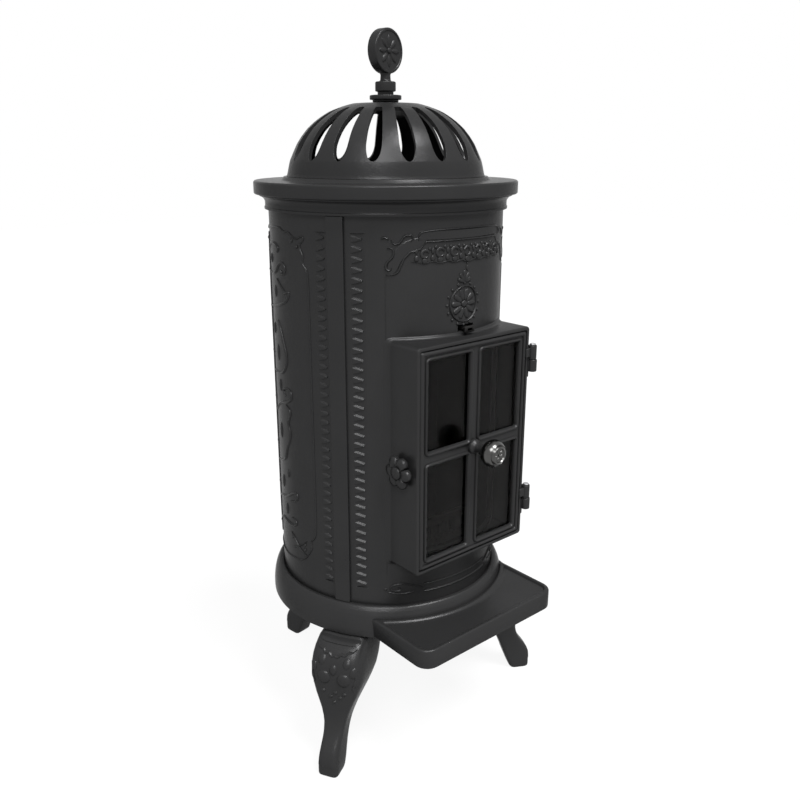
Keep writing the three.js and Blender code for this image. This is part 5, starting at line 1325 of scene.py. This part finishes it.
def cast_effect():
    group = bpy.data.node_groups.new("sand_cast_surface", "ShaderNodeTree")
    for name, default in (("Grain scale", 900.0), ("Grain depth", 0.35), ("Cloud scale", 14.0)):
        socket = group.interface.new_socket(name=name, in_out="INPUT", socket_type="NodeSocketFloat")
        socket.default_value = default
    for name, kind in (("Cloud", "Float"), ("Normal", "Vector")):
        group.interface.new_socket(name=name, in_out="OUTPUT", socket_type=f"NodeSocket{kind}")
    nodes, link = group.nodes, group.links.new
    start, end = nodes.new("NodeGroupInput"), nodes.new("NodeGroupOutput")
    place = nodes.new("ShaderNodeTexCoord")
    cloud, grain, pits = (nodes.new("ShaderNodeTexNoise") for _ in range(3))
    for texture, detail, rough in ((cloud, 4, 0.55), (grain, 3, 0.6), (pits, 2, 0.5)):
        texture.inputs["Detail"].default_value = detail
        texture.inputs["Roughness"].default_value = rough
        link(place.outputs["Object"], texture.inputs["Vector"])
    link(start.outputs["Cloud scale"], cloud.inputs["Scale"])
    link(start.outputs["Grain scale"], grain.inputs["Scale"])
    pits.inputs["Scale"].default_value = PIT_SCALE
    mix = nodes.new("ShaderNodeMath")
    mix.operation = "MULTIPLY_ADD"
    link(pits.outputs["Fac"], mix.inputs[0])
    mix.inputs[1].default_value = PIT_SHARE
    link(grain.outputs["Fac"], mix.inputs[2])
    bump = nodes.new("ShaderNodeBump")
    bump.inputs["Distance"].default_value = BUMP_METRES
    link(start.outputs["Grain depth"], bump.inputs["Strength"])
    link(mix.outputs[0], bump.inputs["Height"])
    link(cloud.outputs["Fac"], end.inputs["Cloud"])
    link(bump.outputs["Normal"], end.inputs["Normal"])
    return group


CAST = cast_effect()
print("shared effect:", CAST.name, "with", len(CAST.nodes), "nodes")

# %% [markdown]
# `cast_material` mixes two nearly equal colours and two levels of gloss by the clouds of the shared
# effect. The stove paint holds graphite, so it is partly metallic. The fire parts are dull with
# soot, the pull is polished, and the lining is almost black: soot, darkened further as painted
# shade for the dim inside of the firebox.

# %% Paint, iron, steel, lining and rope
def cast_material(name, dark, light, rough, grain_scale=900.0, grain_depth=0.35, cloud_scale=14.0,
                  metallic=0.0, specular=0.5):
    material = bpy.data.materials.new(name)
    material.use_nodes = True
    nodes, link = material.node_tree.nodes, material.node_tree.links.new
    shader = nodes["Principled BSDF"]
    effect = nodes.new("ShaderNodeGroup")
    effect.node_tree = CAST
    effect.inputs["Grain scale"].default_value = grain_scale
    effect.inputs["Grain depth"].default_value = grain_depth
    effect.inputs["Cloud scale"].default_value = cloud_scale
    colour = nodes.new("ShaderNodeMix")
    colour.data_type = "RGBA"
    colour.inputs["A"].default_value = (*dark, 1)
    colour.inputs["B"].default_value = (*light, 1)
    link(effect.outputs["Cloud"], colour.inputs["Factor"])
    link(colour.outputs["Result"], shader.inputs["Base Color"])
    gloss = nodes.new("ShaderNodeMapRange")
    gloss.inputs["To Min"].default_value, gloss.inputs["To Max"].default_value = rough
    link(effect.outputs["Cloud"], gloss.inputs["Value"])
    link(gloss.outputs["Result"], shader.inputs["Roughness"])
    link(effect.outputs["Normal"], shader.inputs["Normal"])
    shader.inputs["Metallic"].default_value = metallic
    shader.inputs["Specular IOR Level"].default_value = specular
    return material


STOVE_BLACK = cast_material("graphite_stove_black", (0.029, 0.029, 0.0295), (0.037, 0.037, 0.0375),
                            (0.25, 0.34), metallic=0.45, specular=0.1)
STOVE_BLACK.node_tree.nodes["Principled BSDF"].inputs["Specular Tint"].default_value = (0.24, 0.24, 0.24, 1)
FIRE_IRON = cast_material("sooty_fire_iron", (0.005, 0.005, 0.005), (0.012, 0.0115, 0.011), (0.62, 0.85),
                          500.0, 0.6, 25.0, specular=0.15)
STEEL = cast_material("zinc_plated_steel", (0.32, 0.32, 0.33), (0.45, 0.45, 0.46), (0.3, 0.5),
                      700.0, 0.12, 60.0, metallic=1.0)
BRIGHT = cast_material("polished_dark_nickel", (0.06, 0.0595, 0.058), (0.1, 0.099, 0.097), (0.17, 0.26),
                       400.0, 0.05, 40.0, metallic=1.0)
# The lining's near-black colour is darker than soot alone: painted shade for the firebox behind the glass.
SOOT_AND_SHADE_LINING = cast_material("lining_soot_and_painted_shade", (0.003, 0.003, 0.003), (0.009, 0.0088, 0.0085),
                      (0.85, 0.97), 120.0, 0.1, 16.0, specular=0.0)
ROPE = cast_material("glass_fibre_rope", (0.05, 0.05, 0.049), (0.10, 0.10, 0.098), (0.85, 0.98),
                     600.0, 0.9, 90.0)
print("finishes:", [look.name for look in (STOVE_BLACK, FIRE_IRON, STEEL, BRIGHT, SOOT_AND_SHADE_LINING, ROPE)])

# %% [markdown]
# The door is glazed with one sheet of clear ceramic glass behind the cross. It is thin and smooth,
# faintly brown, with a trace of soot haze that makes some patches less glossy.

# %% Stove glass
GLASS = bpy.data.materials.new("ceramic_stove_glass")
GLASS.use_nodes = True
nodes, link = GLASS.node_tree.nodes, GLASS.node_tree.links.new
glass = nodes["Principled BSDF"]
glass.inputs["Base Color"].default_value = (0.5, 0.49, 0.475, 1)
glass.inputs["Specular IOR Level"].default_value = 0.25
glass.inputs["Transmission Weight"].default_value = 1.0
glass.inputs["IOR"].default_value = 1.15
place = nodes.new("ShaderNodeTexCoord")
haze = nodes.new("ShaderNodeTexNoise")
haze.inputs["Scale"].default_value = 9.0
smear = nodes.new("ShaderNodeMapRange")
smear.inputs["To Min"].default_value, smear.inputs["To Max"].default_value = 0.0, 0.05
link(place.outputs["Object"], haze.inputs["Vector"])
link(haze.outputs["Fac"], smear.inputs["Value"])
link(smear.outputs["Result"], glass.inputs["Roughness"])
print("glass:", GLASS.name)

# %% [markdown]
# Each piece takes the finish of its slot, and so does every working part that still shows: bolts,
# lining, grate, clips and glass.

# %% Dress every piece
FINISH = {"iron": STOVE_BLACK, "fire_iron": FIRE_IRON, "fastener_steel": STEEL, "bright_steel": BRIGHT,
          "glass": GLASS, "lining": SOOT_AND_SHADE_LINING, "rope": ROPE}
SLOT_OF = {part["node"]: part["material_slot"] for part in frame["record"]["subparts"]}
for made in PIECES:
    made.data.materials.append(FINISH[made["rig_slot"]])
for name, node in frame["nodes"].items():
    node.data.materials.clear()
    node.data.materials.append(FINISH[SLOT_OF[name]])
print("dressed", len(PIECES), "pieces and", len(frame["nodes"]), "working parts")

# %% [markdown]
# The stage is a pale floor under a pale world. The floor keeps the stove's soft shadow, and what
# the camera, a mirror or the glass sees of it is plain white, as in a studio photograph.

# %% Floor
def larger(nodes, link, first, second):
    node = nodes.new("ShaderNodeMath")
    node.operation = "MAXIMUM"
    link(first, node.inputs[0])
    link(second, node.inputs[1])
    return node.outputs[0]


def white_rays(nodes, link):
    """One for the rays of the camera, of a mirror and of the glass, and zero for all others."""
    path = nodes.new("ShaderNodeLightPath").outputs
    return larger(nodes, link, larger(nodes, link, path["Is Camera Ray"], path["Is Glossy Ray"]),
                  path["Is Transmission Ray"])


FLOOR_GREY, FLOOR_WHITE, WHITE_SHARE = (0.45, 0.45, 0.45, 1), 1.14, 0.8
floor_mesh = bpy.data.meshes.new("studio_floor")
floor_mesh.from_pydata([(-9, -9, 0), (9, -9, 0), (9, 9, 0), (-9, 9, 0)], [], [[0, 1, 2, 3]])
floor = bpy.data.objects.new("studio_floor", floor_mesh)
bpy.context.scene.collection.objects.link(floor)
floor_paint = bpy.data.materials.new("studio_white")
floor_paint.use_nodes = True
nodes, link = floor_paint.node_tree.nodes, floor_paint.node_tree.links.new
shader = nodes["Principled BSDF"]
shader.inputs["Base Color"].default_value = FLOOR_GREY
shader.inputs["Roughness"].default_value = 0.9
white = nodes.new("ShaderNodeEmission")
white.inputs["Strength"].default_value = FLOOR_WHITE
share = nodes.new("ShaderNodeMath")
share.operation = "MULTIPLY"
link(white_rays(nodes, link), share.inputs[0])
share.inputs[1].default_value = WHITE_SHARE
blend = nodes.new("ShaderNodeMixShader")
link(share.outputs[0], blend.inputs["Fac"])
link(shader.outputs[0], blend.inputs[1])
link(white.outputs[0], blend.inputs[2])
link(blend.outputs[0], nodes["Material Output"].inputs["Surface"])
floor_mesh.materials.append(floor_paint)
floor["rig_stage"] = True
print("floor:", floor.name, "with", floor_paint.name)

# %% [markdown]
# The world works in the same way: the camera and all reflections see plain white, but as a lamp it
# is dim, so that the two lights shape the castings.

# %% World
DIM, WHITE = 0.12, 1.0  # the world as a lamp, and as it is seen
world = bpy.data.worlds.new("studio_world")
bpy.context.scene.world = world
world.use_nodes = True
nodes, link = world.node_tree.nodes, world.node_tree.links.new
sky = nodes["Background"]
level = nodes.new("ShaderNodeMapRange")
level.inputs["To Min"].default_value, level.inputs["To Max"].default_value = DIM, WHITE
link(white_rays(nodes, link), level.inputs["Value"])
link(level.outputs["Result"], sky.inputs["Strength"])
sky.inputs["Color"].default_value = (1, 1, 1, 1)
print("world:", world.name)

# %% [markdown]
# Two soft suns light the stove. The key light stands high and nearly in front. A weaker one stands
# lower on the left and draws the edge of the round shell. Both are wide, so their shadows are soft.

# %% Lights
def soft_light(name, azimuth, elevation, spread, strength):
    data = bpy.data.lights.new(name, "SUN")
    data.angle = math.radians(spread)
    data.energy = strength
    lamp = bpy.data.objects.new(name, data)
    a, e = math.radians(azimuth), math.radians(elevation)
    toward = Vector((math.sin(a) * math.cos(e), -math.cos(a) * math.cos(e), math.sin(e)))
    lamp.rotation_euler = toward.to_track_quat("Z", "Y").to_euler()
    lamp.location = toward * 3
    bpy.context.scene.collection.objects.link(lamp)
    return lamp


soft_light("key_light", 8, 62, 24, 3.7)
soft_light("left_light", -48, 46, 26, 2.0)

# %% [markdown]
# The camera stands to the left of the front, a little above the stove's top, where the photograph
# was taken from. Its lens and place were fitted to the round slab, the base ring and the door.

# %% Camera
camera_data = bpy.data.cameras.new("studio_camera")
camera_data.sensor_width, camera_data.lens = 36, 36.6
camera = bpy.data.objects.new("studio_camera", camera_data)
camera.location = Vector((-798.5, -975.5, 923.0)) * MM
camera.rotation_euler = Vector((0.61664, 0.72821, -0.29910)).to_track_quat("-Z", "Y").to_euler()
bpy.context.scene.collection.objects.link(camera)
bpy.context.scene.camera = camera
bpy.context.scene.view_settings.view_transform = "Standard"
print("camera at", [round(v / MM, 1) for v in camera.location], "lens", camera_data.lens)

# %% [markdown]
# Last, the sizes of the working model and of the finished one are written side by side, to see
# that no casting grew out of the box it has to fit.

# %% Sizes and finish
visual_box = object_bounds()
for word, box in (("working", cad_box), ("finished", visual_box)):
    print(word, "box:", [[round(v, 4) for v in corner] for corner in box])
